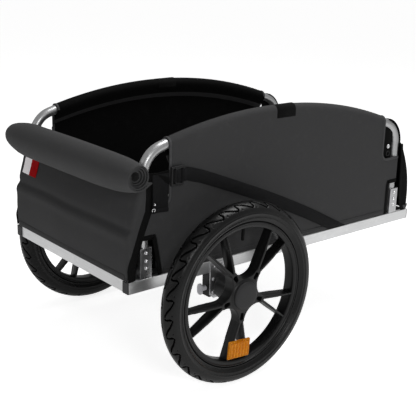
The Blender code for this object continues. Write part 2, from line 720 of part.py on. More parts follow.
def strap_outline():
    """Both edges of the strap, cut off at the panel's hem."""
    first = STRAP_POINTS[0][0]
    last = STRAP_POINTS[-1][0]
    count = 10
    upper = []
    lower = []
    for i in range(count):
        x = first + (last + STRAP_BEYOND_FOOT - first) * i / (count - 1)
        slope = (strap_height(x + 0.001) - strap_height(x - 0.001)) / 0.002
        rise = WEBBING_WIDTH / 2 * math.sqrt(1 + slope ** 2)
        upper.append((x, strap_height(x) + rise))
        lower.append((x, strap_height(x) - rise))
    hem = PANEL_HEM + GAP

    def clip(edge):
        kept = []
        for here, after in zip(edge, edge[1:]):
            kept.append(here)
            if after[1] < hem:
                share = (here[1] - hem) / (here[1] - after[1])
                kept.append((here[0] + share * (after[0] - here[0]), hem))
                break
        return kept

    return clip(upper) + list(reversed(clip(lower)))


def side_webbing(side, sign, body):
    """The diagonal strap, its buckle and the flap that hangs at the rear corner."""
    lies_at = SHEET_OUTER + GAP + WEBBING / 2
    strap = flat([strap_outline()], WEBBING, "XZ", sign * lies_at)
    place(strap, "side_strap_" + side, "webbing", body)

    buckle_end = STRAP_POINTS[0][0] - GAP
    buckle_x = buckle_end - BUCKLE_WIDTH / 2
    middle_z = STRAP_POINTS[0][1] - BUCKLE_DROP
    half_w = BUCKLE_WIDTH / 2
    half_h = BUCKLE_HEIGHT / 2
    chamfer = BUCKLE_CHAMFER
    outline = [(buckle_x - half_w + chamfer, middle_z - half_h), (buckle_x + half_w - chamfer, middle_z - half_h),
               (buckle_x + half_w, middle_z - half_h + chamfer), (buckle_x + half_w, middle_z + half_h - chamfer),
               (buckle_x + half_w - chamfer, middle_z + half_h), (buckle_x - half_w + chamfer, middle_z + half_h),
               (buckle_x - half_w, middle_z + half_h - chamfer), (buckle_x - half_w, middle_z - half_h + chamfer)]
    buckle = flat([outline], BUCKLE_THICKNESS, "XZ", sign * (SHEET_OUTER + GAP + BUCKLE_THICKNESS / 2))
    place(buckle, "strap_buckle_" + side, "black_plastic", body)

    right = buckle_x - half_w - GAP
    left = right - FLAP_WIDTH
    tab_end = UPRIGHT_X[0] - SLEEVE_RADIUS + GAP
    flap = [(right, FLAP_TOP), (tab_end, FLAP_TOP), (tab_end, FLAP_TOP - FLAP_TAB), (left, FLAP_TOP - FLAP_TAB),
            (left, FLAP_BOTTOM + FLAP_SLANT), (right, FLAP_BOTTOM)]
    obj = flat([flap], WEBBING, "XZ", sign * lies_at)
    place(obj, "corner_flap_" + side, "webbing", body)


def side_frames():
    for side, sign in SIDES:
        body = pivot("hinge_side_frame_" + side, (FRAME_SHIFT, sign * TUBE_Y, PIVOT_HEIGHT[side]))
        side_frame(side, sign, body)
        side_panel(side, sign, body)
        side_webbing(side, sign, body)


# End panels and the rolled cover
def rear_panel_x(y, z):
    """Outer face of the rear panel: it leans forward, swells rearwards and folds along a crease."""
    share = min(max((z - CLOTH_FOOT) / (REAR_PANEL_TOP - CLOTH_FOOT), 0), 1)
    lean = REAR_PANEL_LEAN * min(share / REAR_PANEL_UPRIGHT, 1) ** REAR_PANEL_CURVE
    sag = REAR_PANEL_SAG * math.sin(math.pi * min(share / 0.75, 1))
    swell = REAR_PANEL_BULGE * math.sin(math.pi * share) * (1 - (y / PANEL_HALF_WIDTH) ** 2)
    crease = REAR_CREASE * math.exp(-((z - REAR_CREASE_HEIGHT) / 0.014) ** 2)
    return -(RAIL_END - GAP) + lean - sag - swell - crease


def front_panel_x(y, z):
    """Inner face of the front panel, which swells forwards and stands on the front rail."""
    share = min(max((z - FRONT_PANEL_FOOT) / (FRONT_PANEL_TOP - FRONT_PANEL_FOOT), 0), 1)
    lean = FRONT_PANEL_LEAN * (1 - share ** FRONT_PANEL_CURVE)
    swell = FRONT_PANEL_BULGE * math.sin(math.pi * share) * (1 - 0.67 * (y / PANEL_HALF_WIDTH) ** 2)
    return UPRIGHT_X[1] + SLEEVE_RADIUS + 2 * GAP + lean + swell


def sheet(where, ys, zs, inward):
    """A cloth sheet on a grid; where gives its face, and its thickness lies inward of that."""
    shape = bmesh.new()
    rows = [[shape.verts.new((where(y, z), y, z)) for y in ys] for z in zs]
    for low, high in zip(rows, rows[1:]):
        for i in range(len(ys) - 1):
            shape.faces.new((low[i], low[i + 1], high[i + 1], high[i]))
    mesh = bpy.data.meshes.new("sheet")
    shape.to_mesh(mesh)
    shape.free()
    obj = mesh_object(mesh)
    wall = obj.modifiers.new("Solidify", "SOLIDIFY")
    wall.thickness = CLOTH
    wall.offset = 1 if inward else -1
    wall.use_even_offset = False
    return obj


def spread(start, end, count):
    return [start + (end - start) * i / (count - 1) for i in range(count)]


def end_panels():
    ys = spread(-PANEL_HALF_WIDTH, PANEL_HALF_WIDTH, 11)
    crease = REAR_CREASE_HEIGHT
    heights = spread(CLOTH_FOOT, crease - 0.020, 4) + [crease - 0.008, crease, crease + 0.008]
    heights += spread(crease + 0.020, REAR_PANEL_TOP, 6)
    rear = sheet(rear_panel_x, ys, heights, True)
    place(smooth(rear, math.radians(60)), "rear_panel", "grey_fabric")
    front = sheet(front_panel_x, ys, spread(FRONT_PANEL_FOOT, FRONT_PANEL_TOP, 9), True)
    place(smooth(front, math.radians(60)), "front_panel", "black_fabric")


def rear_reflector():
    """Reflective strip on the rear panel."""
    def face(y, z):
        return rear_panel_x(y, z) - REFLECTOR_STRIP_STAND

    half = REFLECTOR_STRIP_WIDTH
    ys = spread(REFLECTOR_STRIP_Y - half, REFLECTOR_STRIP_Y + half, 5)
    zs = spread(REFLECTOR_STRIP_BOTTOM, REFLECTOR_STRIP_BOTTOM + REFLECTOR_STRIP_HEIGHT, 5)
    strip = sheet(face, ys, zs, True)
    strip.modifiers["Solidify"].thickness = REFLECTOR_STRIP_SHEET
    place(strip, "rear_reflector", "red_lens")


def cover_roll():
    """The top cover, rolled up: one long spiral of cloth across the rear."""
    per_turn = 18
    count = int(ROLL_TURNS * per_turn)
    pitch = (ROLL_RADIUS - ROLL_CORE - ROLL_CLOTH) / ROLL_TURNS
    start = -math.radians(60)
    outer = []
    inner = []
    for radius in (ROLL_RADIUS, ROLL_RADIUS - ROLL_CLOTH):
        tip = (ROLL_X + radius * math.cos(start) - ROLL_TAIL * math.sin(start),
               ROLL_HEIGHT + radius * math.sin(start) + ROLL_TAIL * math.cos(start))
        (outer if radius == ROLL_RADIUS else inner).append(tip)
    for i in range(count + 1):
        turn = i / per_turn
        angle = start - 2 * math.pi * turn
        radius = ROLL_RADIUS - pitch * turn
        outer.append((ROLL_X + radius * math.cos(angle), ROLL_HEIGHT + radius * math.sin(angle)))
        radius -= ROLL_CLOTH
        inner.append((ROLL_X + radius * math.cos(angle), ROLL_HEIGHT + radius * math.sin(angle)))
    print("cover roll: gap between turns", round((pitch - ROLL_CLOTH) * 1000, 2), "mm")
    roll = flat([outer + list(reversed(inner))], ROLL_LENGTH, "XZ", ROLL_MIDDLE)
    place(roll, "cover_roll", "grey_fabric")


# Wheels
def tyre_profile():
    """Closed section of the hollow tyre in (radius, height along the axle)."""
    half = TYRE_WIDTH / 2
    tall = WHEEL_RADIUS - RIM_RADIUS
    bead = RIM_BED_RADIUS + GAP
    widest = RIM_RADIUS + 0.463 * tall
    shoulder = RIM_RADIUS + 0.768 * tall
    outer = [(bead, 0.5 * half), (RIM_RADIUS + 0.024 * tall, 0.5625 * half), (RIM_RADIUS + 0.22 * tall, 0.854 * half),
             (widest, half), (RIM_RADIUS + 0.732 * tall, 0.875 * half), (RIM_RADIUS + 0.927 * tall, 0.5 * half),
             (WHEEL_RADIUS, 0.0)]
    mirror = [(r, -h) for r, h in reversed(outer[:-1])]
    inner = [(bead, -0.396 * half), (widest, -(half - TYRE_WALL)), (shoulder, -0.604 * half),
             (WHEEL_RADIUS - TYRE_TREAD_WALL, 0.0), (shoulder, 0.604 * half), (widest, half - TYRE_WALL),
             (bead, 0.396 * half)]
    return outer + mirror + inner


def rim_profile():
    side = RIM_HALF_WIDTH
    return [(RIM_RADIUS, side), (RIM_RADIUS, side - 0.0024), (RIM_BED_RADIUS, side - 0.0036),
            (RIM_BED_RADIUS, -side + 0.0036), (RIM_RADIUS, -side + 0.0024), (RIM_RADIUS, -side),
            (RIM_INNER_RADIUS, -side), (RIM_INNER_RADIUS, side)]


def hub_profile():
    """Hub shell, bored for its bearing bush, with a recess for the axle nut."""
    bore = BUSH_RADIUS + GAP
    return [(HUB_RADIUS + 0.006, HUB_FACE), (HUB_RADIUS + 0.006, HUB_FACE - 0.006), (HUB_RADIUS, HUB_FACE - 0.012),
            (HUB_RADIUS, HUB_INNER_END + 0.004), (HUB_RADIUS - 0.004, HUB_INNER_END),
            (bore, HUB_INNER_END), (bore, BUSH_FACE), (NUT_RECESS, BUSH_FACE), (NUT_RECESS, HUB_FACE)]


def lobe_outline():
    """Star plate behind the hub's face: five lobes with round hollows between them, each with a slot."""
    points = []
    half_step = math.pi / SPOKE_PAIRS
    corner_across = LOBE_RADIUS * math.sin(half_step - LOBE_HALF_TURN)
    corner_along = LOBE_HOLLOW - LOBE_RADIUS * math.cos(half_step - LOBE_HALF_TURN)
    hollow_radius = math.hypot(corner_across, corner_along)
    sweep = math.atan2(corner_across, corner_along)
    for i in range(SPOKE_PAIRS):
        middle = SPOKE_PHASE + 2 * math.pi * i / SPOKE_PAIRS
        for turn, radius in ((-LOBE_HALF_TURN, LOBE_RADIUS), (0, LOBE_RADIUS + 0.0025), (LOBE_HALF_TURN, LOBE_RADIUS)):
            angle = middle + turn
            points.append((radius * math.cos(angle), radius * math.sin(angle)))
        centre = (LOBE_HOLLOW * math.cos(middle + half_step), LOBE_HOLLOW * math.sin(middle + half_step))
        inward = middle + half_step + math.pi
        points += arc(centre, hollow_radius, inward + 0.72 * sweep, inward - 0.72 * sweep, 5)
    slots = []
    for i in range(SPOKE_PAIRS):
        middle = SPOKE_PHASE + 2 * math.pi * i / SPOKE_PAIRS
        slot = []
        for along, across in ((-0.0065, -0.002), (0.005, -0.0052), (0.0065, -0.003), (0.0065, 0.003),
                              (0.005, 0.0052), (-0.0065, 0.002)):
            radius = LOBE_SLOT_RADIUS + along
            slot.append((radius * math.cos(middle) - across * math.sin(middle),
                         radius * math.sin(middle) + across * math.cos(middle)))
        slots.append(slot)
    hole = circle((0, 0), NUT_RECESS + 0.004, 20)
    return [points] + slots + [hole]


def spokes(turn):
    """One deep blade of each pair, turned off the pair's middle line at the fork, out into the rim."""
    blades = []
    rim = (RIM_INNER_RADIUS + RIM_BED_RADIUS) / 2
    outer = math.sqrt(rim ** 2 - (SPOKE_FORK * math.sin(turn)) ** 2) - SPOKE_FORK * math.cos(turn)
    for i in range(SPOKE_PAIRS):
        middle = SPOKE_PHASE + 2 * math.pi * i / SPOKE_PAIRS
        fork = Vector((SPOKE_FORK * math.cos(middle), SPOKE_FORK * math.sin(middle), 0))
        shape = bmesh.new()
        bmesh.ops.create_cube(shape, size=1.0)
        for vert in shape.verts:
            far = vert.co.x > 0
            front = vert.co.z > 0
            vert.co.x = outer if far else SPOKE_START
            vert.co.y = math.copysign(SPOKE_HALF_WIDTH * (0.82 if far else 1.0) * (0.75 if front else 1.0),
                                      vert.co.y)
            if front:
                vert.co.z = RIM_HALF_WIDTH - 0.004 if far else HUB_FACE - 0.005
            else:
                vert.co.z = -RIM_HALF_WIDTH + 0.006 if far else HUB_FACE - 0.005 - SPOKE_DEPTH
        bmesh.ops.rotate(shape, cent=(0, 0, 0), matrix=Matrix.Rotation(middle + turn, 3, "Z"), verts=shape.verts)
        bmesh.ops.translate(shape, vec=fork, verts=shape.verts)
        mesh = bpy.data.meshes.new("spoke")
        shape.to_mesh(mesh)
        shape.free()
        blades.append(mesh_object(mesh))
    return joined(blades)


def valve_place(start, end, radius, sides=10):
    """A round bar that lies along the valve's line, in the wheel's own frame."""
    shape = bmesh.new()
    bmesh.ops.create_cone(shape, cap_ends=True, segments=sides, radius1=radius, radius2=radius, depth=end - start)
    bmesh.ops.rotate(shape, cent=(0, 0, 0), matrix=Matrix.Rotation(math.pi / 2, 3, "Y"), verts=shape.verts)
    bmesh.ops.translate(shape, vec=((start + end) / 2, 0, 0), verts=shape.verts)
    bmesh.ops.rotate(shape, cent=(0, 0, 0), matrix=Matrix.Rotation(VALVE_ANGLE, 3, "Z"), verts=shape.verts)
    mesh = bpy.data.meshes.new("valve")
    shape.to_mesh(mesh)
    shape.free()
    return mesh_object(mesh)


def wheel_moulding():
    """Rim, hub, star plate and spokes as one moulding."""
    obj = to_mesh(turned(rim_profile(), WHEEL_SEGMENTS))
    combine(obj, to_mesh(turned(hub_profile(), 24)), "UNION", "hub")
    front = HUB_FACE - 0.003
    lobes = to_mesh(flat(lobe_outline(), LOBE_THICKNESS, "XY", front - LOBE_THICKNESS / 2))
    combine(obj, lobes, "UNION", "lobes")
    combine(obj, spokes(-SPOKE_SPLIT), "UNION", "lower_spokes")
    combine(obj, spokes(SPOKE_SPLIT), "UNION", "upper_spokes")
    hole = valve_place(RIM_INNER_RADIUS - 0.002, RIM_RADIUS, VALVE_RADIUS + GAP)
    combine(obj, hole, "DIFFERENCE", "valve_hole")
    return smooth(to_mesh(obj))


def inner_tube():
    """Rubber tube that fills the tyre, with its valve through the rim."""
    low = RIM_RADIUS + TYRE_WALL
    high = WHEEL_RADIUS - TYRE_TREAD_WALL - 4 * GAP
    middle = (low + high) / 2
    tall = (high - low) / 2
    wide = TYRE_WIDTH / 2 - TYRE_WALL - 5 * GAP
    turns = spread(math.pi / 2, -3 * math.pi / 2, 9)[:-1]
    section = [(middle + tall * math.cos(a), wide * math.sin(a)) for a in turns]
    obj = to_mesh(turned(section, WHEEL_SEGMENTS))
    combine(obj, valve_place(VALVE_TIP, middle, VALVE_RADIUS - 0.0006), "UNION", "valve")
    return smooth(to_mesh(obj))


def bearing_bush():
    inner = AXLE_RADIUS + RUNNING
    return to_mesh(turned([(BUSH_RADIUS, BUSH_FACE), (BUSH_RADIUS, HUB_INNER_END), (inner, HUB_INNER_END),
                           (inner, BUSH_FACE)], 20))


def hub_cap():
    low = HUB_FACE + GAP
    profile = [(0, low + CAP_THICKNESS), (CAP_RADIUS * 0.75, low + CAP_THICKNESS * 0.96),
               (CAP_RADIUS * 0.95, low + CAP_THICKNESS * 0.72), (CAP_RADIUS, low + CAP_THICKNESS * 0.3),
               (CAP_RADIUS, low), (0, low)]
    return to_mesh(turned(profile, 24))


def wheel_reflector():
    """Ribbed amber reflector in front of one spoke pair, with a lug between the two spokes."""
    width, height, depth = WHEEL_REFLECTOR_SIZE
    front = RIM_HALF_WIDTH - 0.0028
    ribs = 6
    outline = [(-width / 2, front), (width / 2, front)]
    for i in range(ribs):
        right = width / 2 - width * i / ribs
        left = width / 2 - width * (i + 1) / ribs
        outline += [(right, front + depth - 0.0012), ((left + right) / 2, front + depth)]
    outline.append((-width / 2, front + depth - 0.0012))
    body = to_mesh(flat([outline], height, "XZ", 0))
    spread_at_lug = (WHEEL_REFLECTOR_RADIUS - 0.3 * height - SPOKE_FORK) * math.tan(SPOKE_SPLIT)
    lug_width = 2 * (spread_at_lug - SPOKE_HALF_WIDTH / math.cos(SPOKE_SPLIT) - 0.001)
    lug = box((lug_width, height * 0.6, 0.012), (0, 0, front - 0.0055))
    combine(body, lug, "UNION", "reflector_lug")
    body = to_mesh(body)
    angle = SPOKE_PHASE + 2 * math.pi * 4 / SPOKE_PAIRS
    turn = Matrix.Rotation(angle + math.pi / 2, 4, "Z") @ Matrix.Translation((0, -WHEEL_REFLECTOR_RADIUS, 0))
    body.data.transform(turn @ body.matrix_world)
    body.matrix_world = Matrix.Identity(4)
    return body


def wheels():
    """Both wheels; each stands on the ground with its own hub face outwards."""
    shared = {
        "tyre": (smooth(to_mesh(turned(tyre_profile(), WHEEL_SEGMENTS))), "tyre_rubber"),
        "inner_tube": (inner_tube(), "tube_rubber"),
        "wheel": (wheel_moulding(), "wheel_plastic"),
        "hub_cap": (smooth(hub_cap()), "black_plastic"),
        "hub_bush": (smooth(bearing_bush()), "bright_steel"),
        "wheel_reflector": (wheel_reflector(), "amber_lens"),
    }
    for side, sign in SIDES:
        centre = (AXLE_X, sign * WHEEL_Y, WHEEL_RADIUS)
        body = pivot("hinge_wheel_" + side, centre)
        for name, (pattern, finish) in shared.items():
            obj = mesh_object(pattern.data.copy(), centre, OUTWARD[sign])
            place(obj, name + "_" + side, finish, body)
    for pattern, _ in shared.values():
        bpy.data.objects.remove(pattern, do_unlink=True)


# Axles, plates and receivers
def axle_plates():
    block_spots, rail_spots = plate_bolt_spots()
    axle_z = WHEEL_RADIUS
    half = PLATE_HALF_WIDTH
    top = RAIL_BOTTOM + PLATE_ON_RAIL
    step = RAIL_BOTTOM - 0.001
    outline = [(-half, axle_z - 0.0186), (-0.0193, axle_z - PLATE_BOTTOM), (0.0193, axle_z - PLATE_BOTTOM),
               (half, axle_z - 0.0186), (half, step - 0.006), (0.012, step), (0.012, top), (-half, top)]
    outline = [(AXLE_X + x, z) for x, z in outline]
    hole = circle((AXLE_X, axle_z), AXLE_RADIUS + GAP, 16)
    reach = PLATE_THICKNESS + GAP
    for side, sign in SIDES:
        obj = to_mesh(flat([outline, hole], PLATE_THICKNESS, "XZ", sign * (PLATE_INNER + PLATE_THICKNESS / 2)))
        bolts = []
        for spots, grip in ((block_spots, 0.012), (rail_spots, RAIL_WALL)):
            bolts += [headed_pin(BOLT_RADIUS, BOLT_HEAD_RADIUS, BOLT_HEAD, reach + grip, OUTWARD[sign],
                                 (x, sign * PLATE_OUTER, z), 8, 0.0005) for x, z in spots]
        combine(obj, joined(bolts), "UNION", "plate_bolts")
        place(to_mesh(obj), "axle_plate_" + side, "steel")


def axle_receivers():
    """Plastic blocks behind the plates, bored for the stub axle, its latch and the bolts."""
    block_spots, _ = plate_bolt_spots()
    top = RAIL_BOTTOM - GAP
    bottom = WHEEL_RADIUS - BLOCK_BOTTOM
    for side, sign in SIDES:
        obj = box((2 * PLATE_HALF_WIDTH, BLOCK_DEPTH, top - bottom),
                  (AXLE_X, sign * BLOCK_MIDDLE, (top + bottom) / 2))
        bevel(obj, 0.002)
        outer = sign * (BLOCK_OUTER + 0.001)
        inner = sign * (BLOCK_OUTER - BLOCK_DEPTH - 0.001)
        bores = [rod(AXLE_RADIUS + GAP, inner, outer, "Y", (AXLE_X, WHEEL_RADIUS), 16),
                 rod(PLUNGER_RADIUS + RUNNING, AXLE_X - PLATE_HALF_WIDTH - 0.001, AXLE_X, "X",
                     (sign * BLOCK_MIDDLE, WHEEL_RADIUS - PLUNGER_DROP), 12)]
        combine(obj, bores[0], "DIFFERENCE", "axle_bore")
        combine(obj, bores[1], "DIFFERENCE", "plunger_bore")
        bolts = [rod(BOLT_RADIUS + GAP, outer, sign * (BLOCK_OUTER - 0.0125), "Y", spot, 10) for spot in block_spots]
        combine(obj, joined(bolts), "DIFFERENCE", "bolt_bores")
        place(obj, "axle_receiver_" + side, "black_plastic")


def axles():
    """Stub axles: a groove for the latch, a shoulder at the plate and a thread under the hub cap."""
    inner = BLOCK_OUTER - BLOCK_DEPTH
    groove = BLOCK_MIDDLE
    shoulder = PLATE_OUTER + GAP
    hub_end = WHEEL_Y + HUB_INNER_END - GAP
    tip = WHEEL_Y + BUSH_FACE + GAP + NUT_THICKNESS + 0.0007
    for side, sign in SIDES:
        profile = [(0, tip), (AXLE_RADIUS - 0.001, tip), (AXLE_RADIUS, tip - 0.001), (AXLE_RADIUS, hub_end),
                   (AXLE_RADIUS + 0.0035, hub_end), (AXLE_RADIUS + 0.0035, shoulder), (AXLE_RADIUS, shoulder),
                   (AXLE_RADIUS, groove + AXLE_NECK / 2), (AXLE_NECK_RADIUS, groove + AXLE_NECK / 2),
                   (AXLE_NECK_RADIUS, groove - AXLE_NECK / 2), (AXLE_RADIUS, groove - AXLE_NECK / 2),
                   (AXLE_RADIUS, inner + 0.001), (AXLE_RADIUS - 0.001, inner), (0, inner)]
        axle = to_mesh(turned(profile, 16, (AXLE_X, 0, WHEEL_RADIUS), OUTWARD[sign]))
        place(smooth(axle), "axle_" + side, "bright_steel")
        start = WHEEL_Y + BUSH_FACE + GAP
        flats = flat([circle((0, 0), NUT_RADIUS, 6), circle((0, 0), AXLE_RADIUS + RUNNING, 16)], NUT_THICKNESS,
                     "XY", 0)
        nut = to_mesh(flats)
        nut.rotation_euler = OUTWARD[sign]
        nut.location = (AXLE_X, sign * (start + NUT_THICKNESS / 2), WHEEL_RADIUS)
        place(nut, "axle_nut_" + side, "bright_steel")


def release_knobs():
    """Latch plungers across the stub axles, each with an oval knob behind its block."""
    thick, wide, tall = KNOB_SIZE
    for side, sign in SIDES:
        y = sign * BLOCK_MIDDLE
        z = WHEEL_RADIUS - PLUNGER_DROP
        rear = AXLE_X - KNOB_REACH
        tip = AXLE_X - AXLE_NECK_RADIUS - GAP
        profile = [(0, tip), (PLUNGER_RADIUS - 0.0008, tip), (PLUNGER_RADIUS, tip - 0.0008),
                   (PLUNGER_RADIUS, AXLE_X - PLATE_HALF_WIDTH - GAP),
                   (PLUNGER_RADIUS + 0.0015, AXLE_X - PLATE_HALF_WIDTH - GAP), (PLUNGER_RADIUS + 0.0015, rear + 0.001),
                   (0, rear + 0.001)]
        obj = to_mesh(turned(profile, 12, (0, y, z), (0, math.pi / 2, 0)))
        shift = (tall - wide) / 2
        oval = (arc((y, z + shift), wide / 2, 0, math.pi, 7)
                + arc((y, z - shift), wide / 2, math.pi, 2 * math.pi, 7))
        plate = to_mesh(flat([oval], thick, "YZ", rear + thick / 2))
        combine(obj, plate, "UNION", "knob_plate")
        holder = pivot("slide_release_knob_" + side, (AXLE_X, y, z))
        place(smooth(to_mesh(obj)), "release_knob_" + side, "pale_plastic", holder)


# Tow arm, folded under the bed
def bracket_bolt_ys():
    return (ARM_Y - 0.007, ARM_Y + 0.007)


def tow_bracket():
    """Two cheeks on a back plate, bolted to the face of the front rail."""
    inner = ARM_RADIUS + GAP
    face = RAIL_END + GAP
    top = RAIL_TOP - 0.001
    under = ARM_PIVOT_Z - CHEEK_RADIUS
    cheek = [(face, RAIL_BOTTOM - 0.014), (face, top), (face + 0.012, top)]
    cheek += arc((ARM_PIVOT_X, ARM_PIVOT_Z), CHEEK_RADIUS, math.radians(60), math.radians(-90), 9)
    cheek += [(face + 0.008, under)]
    bore = circle((ARM_PIVOT_X, ARM_PIVOT_Z), ARM_BOLT_RADIUS + GAP, 12)
    plates = []
    for sign in (-1, 1):
        y = ARM_Y + sign * (inner + CHEEK_THICKNESS / 2)
        plates.append(to_mesh(flat([cheek, bore], CHEEK_THICKNESS, "XZ", y)))
    obj = plates[0]
    combine(obj, plates[1], "UNION", "far_cheek")
    width = 2 * (inner + CHEEK_THICKNESS)
    back_bottom = RAIL_BOTTOM + 0.0015
    back = box((CHEEK_THICKNESS, width, top - back_bottom),
               (face + CHEEK_THICKNESS / 2, ARM_Y, (top + back_bottom) / 2))
    combine(obj, back, "UNION", "back_plate")
    bolts = [headed_pin(BOLT_RADIUS, BOLT_HEAD_RADIUS, BOLT_HEAD, CHEEK_THICKNESS + GAP + RAIL_WALL,
                        (0, math.pi / 2, 0), (face + CHEEK_THICKNESS, y, RAIL_BOTTOM + RAIL_HEIGHT / 2), 8,
                        0.0005) for y in bracket_bolt_ys()]
    combine(obj, joined(bolts), "UNION", "bracket_bolts")
    place(to_mesh(obj), "tow_pivot_bracket", "steel")


def tow_arm():
    body = pivot("hinge_tow_arm", (ARM_PIVOT_X, ARM_Y, ARM_PIVOT_Z))
    end = ARM_PIVOT_X - ARM_LENGTH
    obj = rod(ARM_RADIUS, end, ARM_PIVOT_X + ARM_RADIUS + 0.001, "X", (ARM_Y, ARM_PIVOT_Z), 16)
    knuckle = arc((ARM_PIVOT_X, ARM_PIVOT_Z), ARM_RADIUS + 0.0001, -math.pi / 2, math.pi / 2, 9)
    keep = knuckle + [(end - 0.001, ARM_PIVOT_Z + ARM_RADIUS + 0.0001), (end - 0.001, ARM_PIVOT_Z - ARM_RADIUS - 0.0001)]
    combine(obj, to_mesh(flat([keep], 3 * ARM_RADIUS, "XZ", ARM_Y)), "INTERSECT", "knuckle")
    bore = rod(ARM_BOLT_RADIUS + RUNNING, ARM_Y - 2 * ARM_RADIUS, ARM_Y + 2 * ARM_RADIUS, "Y",
               (ARM_PIVOT_X, ARM_PIVOT_Z), 12)
    combine(obj, bore, "DIFFERENCE", "arm_bore")
    hollow = rod(ARM_RADIUS - 0.002, end - 0.001, ARM_PIVOT_X - 0.030, "X", (ARM_Y, ARM_PIVOT_Z), 12)
    combine(obj, hollow, "DIFFERENCE", "arm_hollow")
    place(smooth(to_mesh(obj)), "tow_arm_tube", "aluminium", body)

    flex_end = end - GAP
    thin = FLEX_RADIUS - 0.003
    profile = [(0, flex_end), (FLEX_RADIUS, flex_end)]
    for i in range(3):
        ring = flex_end - FLEX_LENGTH * (0.2 + 0.22 * i)
        profile += [(FLEX_RADIUS, ring + 0.002), (thin, ring), (thin, ring - 0.004), (FLEX_RADIUS, ring - 0.006)]
    profile += [(FLEX_RADIUS, flex_end - FLEX_LENGTH), (0, flex_end - FLEX_LENGTH)]
    flex = to_mesh(turned(profile, 12, (0, ARM_Y, ARM_PIVOT_Z), (0, math.pi / 2, 0)))
    joint_x = flex_end - FLEX_LENGTH - GAP - ARM_RADIUS
    half = ARM_RADIUS - 0.0015
    tongue = arc((joint_x, ARM_Y), half, math.pi / 2, 1.5 * math.pi, 9)
    tongue += [(flex_end - FLEX_LENGTH + 0.004, ARM_Y - half), (flex_end - FLEX_LENGTH + 0.004, ARM_Y + half)]
    bore = circle((joint_x, ARM_Y), HITCH_PIN_RADIUS + RUNNING, 12)
    combine(flex, to_mesh(flat([tongue, bore], HITCH_TONGUE, "XY", ARM_PIVOT_Z)), "UNION", "hitch_tongue")
    place(smooth(to_mesh(flex)), "tow_flex_joint", "tyre_rubber", body)
    hitch(joint_x, body)


def hitch(joint_x, body):
    """Fork that turns on the flex joint's tongue; a loose pin goes through both tines of its mouth."""
    holder = pivot("hinge_hitch", (joint_x, ARM_Y, ARM_PIVOT_Z), body)
    half = ARM_RADIUS - 0.0005
    end = joint_x - HITCH_LENGTH
    root = joint_x - 0.016
    outline = arc((joint_x, ARM_Y), half, -math.pi / 2, math.pi / 2, 9) + [(end + 0.006, ARM_Y + half),
               (end, ARM_Y + half - 0.006), (end, ARM_Y - half + 0.006), (end + 0.006, ARM_Y - half)]
    thickness = HITCH_MOUTH + 2 * HITCH_TINE
    obj = to_mesh(flat([outline], thickness, "XY", ARM_PIVOT_Z))
    mouth = box((root - end + 0.004, 4 * half, HITCH_MOUTH), ((root + end - 0.004) / 2, ARM_Y, ARM_PIVOT_Z))
    combine(obj, mouth, "DIFFERENCE", "hitch_mouth")
    clevis = box((0.026, 4 * half, HITCH_TONGUE + 2 * GAP), (joint_x + 0.0015, ARM_Y, ARM_PIVOT_Z))
    combine(obj, clevis, "DIFFERENCE", "hitch_clevis")
    rivet = rod(HITCH_PIN_RADIUS, ARM_PIVOT_Z - HITCH_TONGUE / 2 - 0.002, ARM_PIVOT_Z + HITCH_TONGUE / 2 + 0.002,
                "Z", (joint_x, ARM_Y), 16)
    combine(obj, rivet, "UNION", "hitch_rivet")
    pin_x = end + 0.016
    bore = rod(HITCH_PIN_RADIUS + RUNNING, ARM_PIVOT_Z - thickness, ARM_PIVOT_Z + thickness, "Z", (pin_x, ARM_Y), 12)
    combine(obj, bore, "DIFFERENCE", "hitch_bore")
    place(to_mesh(obj), "tow_hitch", "steel", holder)

    pin_holder = pivot("slide_hitch_pin", (pin_x, ARM_Y, ARM_PIVOT_Z), holder)
    face = ARM_PIVOT_Z - thickness / 2 - GAP
    pin = headed_pin(HITCH_PIN_RADIUS, HITCH_PIN_RADIUS + 0.004, 0.004, thickness + 0.006, (math.pi, 0, 0),
                     (pin_x, ARM_Y, face), 12)
    place(smooth(pin), "hitch_pin", "bright_steel", pin_holder)


def clamp_knob():
    """Hand knob with five lobes and the tow arm's pivot bolt moulded into it."""
    inner = ARM_Y + ARM_RADIUS + GAP + CHEEK_THICKNESS + GAP
    count = 30
    rim = []
    for i in range(count):
        angle = 2 * math.pi * i / count
        radius = CLAMP_KNOB_RADIUS * (0.90 + 0.10 * math.cos(5 * angle))
        rim.append((ARM_PIVOT_X + radius * math.cos(angle), ARM_PIVOT_Z + radius * math.sin(angle)))
    knob = to_mesh(flat([rim], CLAMP_KNOB_THICKNESS, "XZ", inner + CLAMP_KNOB_THICKNESS / 2))
    bolt_end = ARM_Y - ARM_RADIUS - CHEEK_THICKNESS - 0.004
    bolt = rod(ARM_BOLT_RADIUS, bolt_end, inner + CLAMP_KNOB_THICKNESS / 2, "Y", (ARM_PIVOT_X, ARM_PIVOT_Z), 16)
    combine(knob, bolt, "UNION", "pivot_bolt")
    holder = pivot("hinge_clamp_knob", (ARM_PIVOT_X, inner, ARM_PIVOT_Z))
    place(to_mesh(knob), "arm_clamp_knob", "black_plastic", holder)


def build():
    side_rails()
    end_rails()
    cross_rail()
    end_plugs()
    floor()
    brackets()
    hinge_pins()
    side_frames()
    end_panels()
    rear_reflector()
    cover_roll()
    wheels()
    axle_plates()
    axle_receivers()
    axles()
    release_knobs()
    tow_bracket()
    tow_arm()
    clamp_knob()
    bpy.context.view_layer.update()
    print("pieces:", sum(1 for obj in parts.objects if obj.type != "EMPTY"))


build()
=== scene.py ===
import json
import math

import bmesh
import bpy
import numpy as np
from mathutils import Matrix, Vector, noise

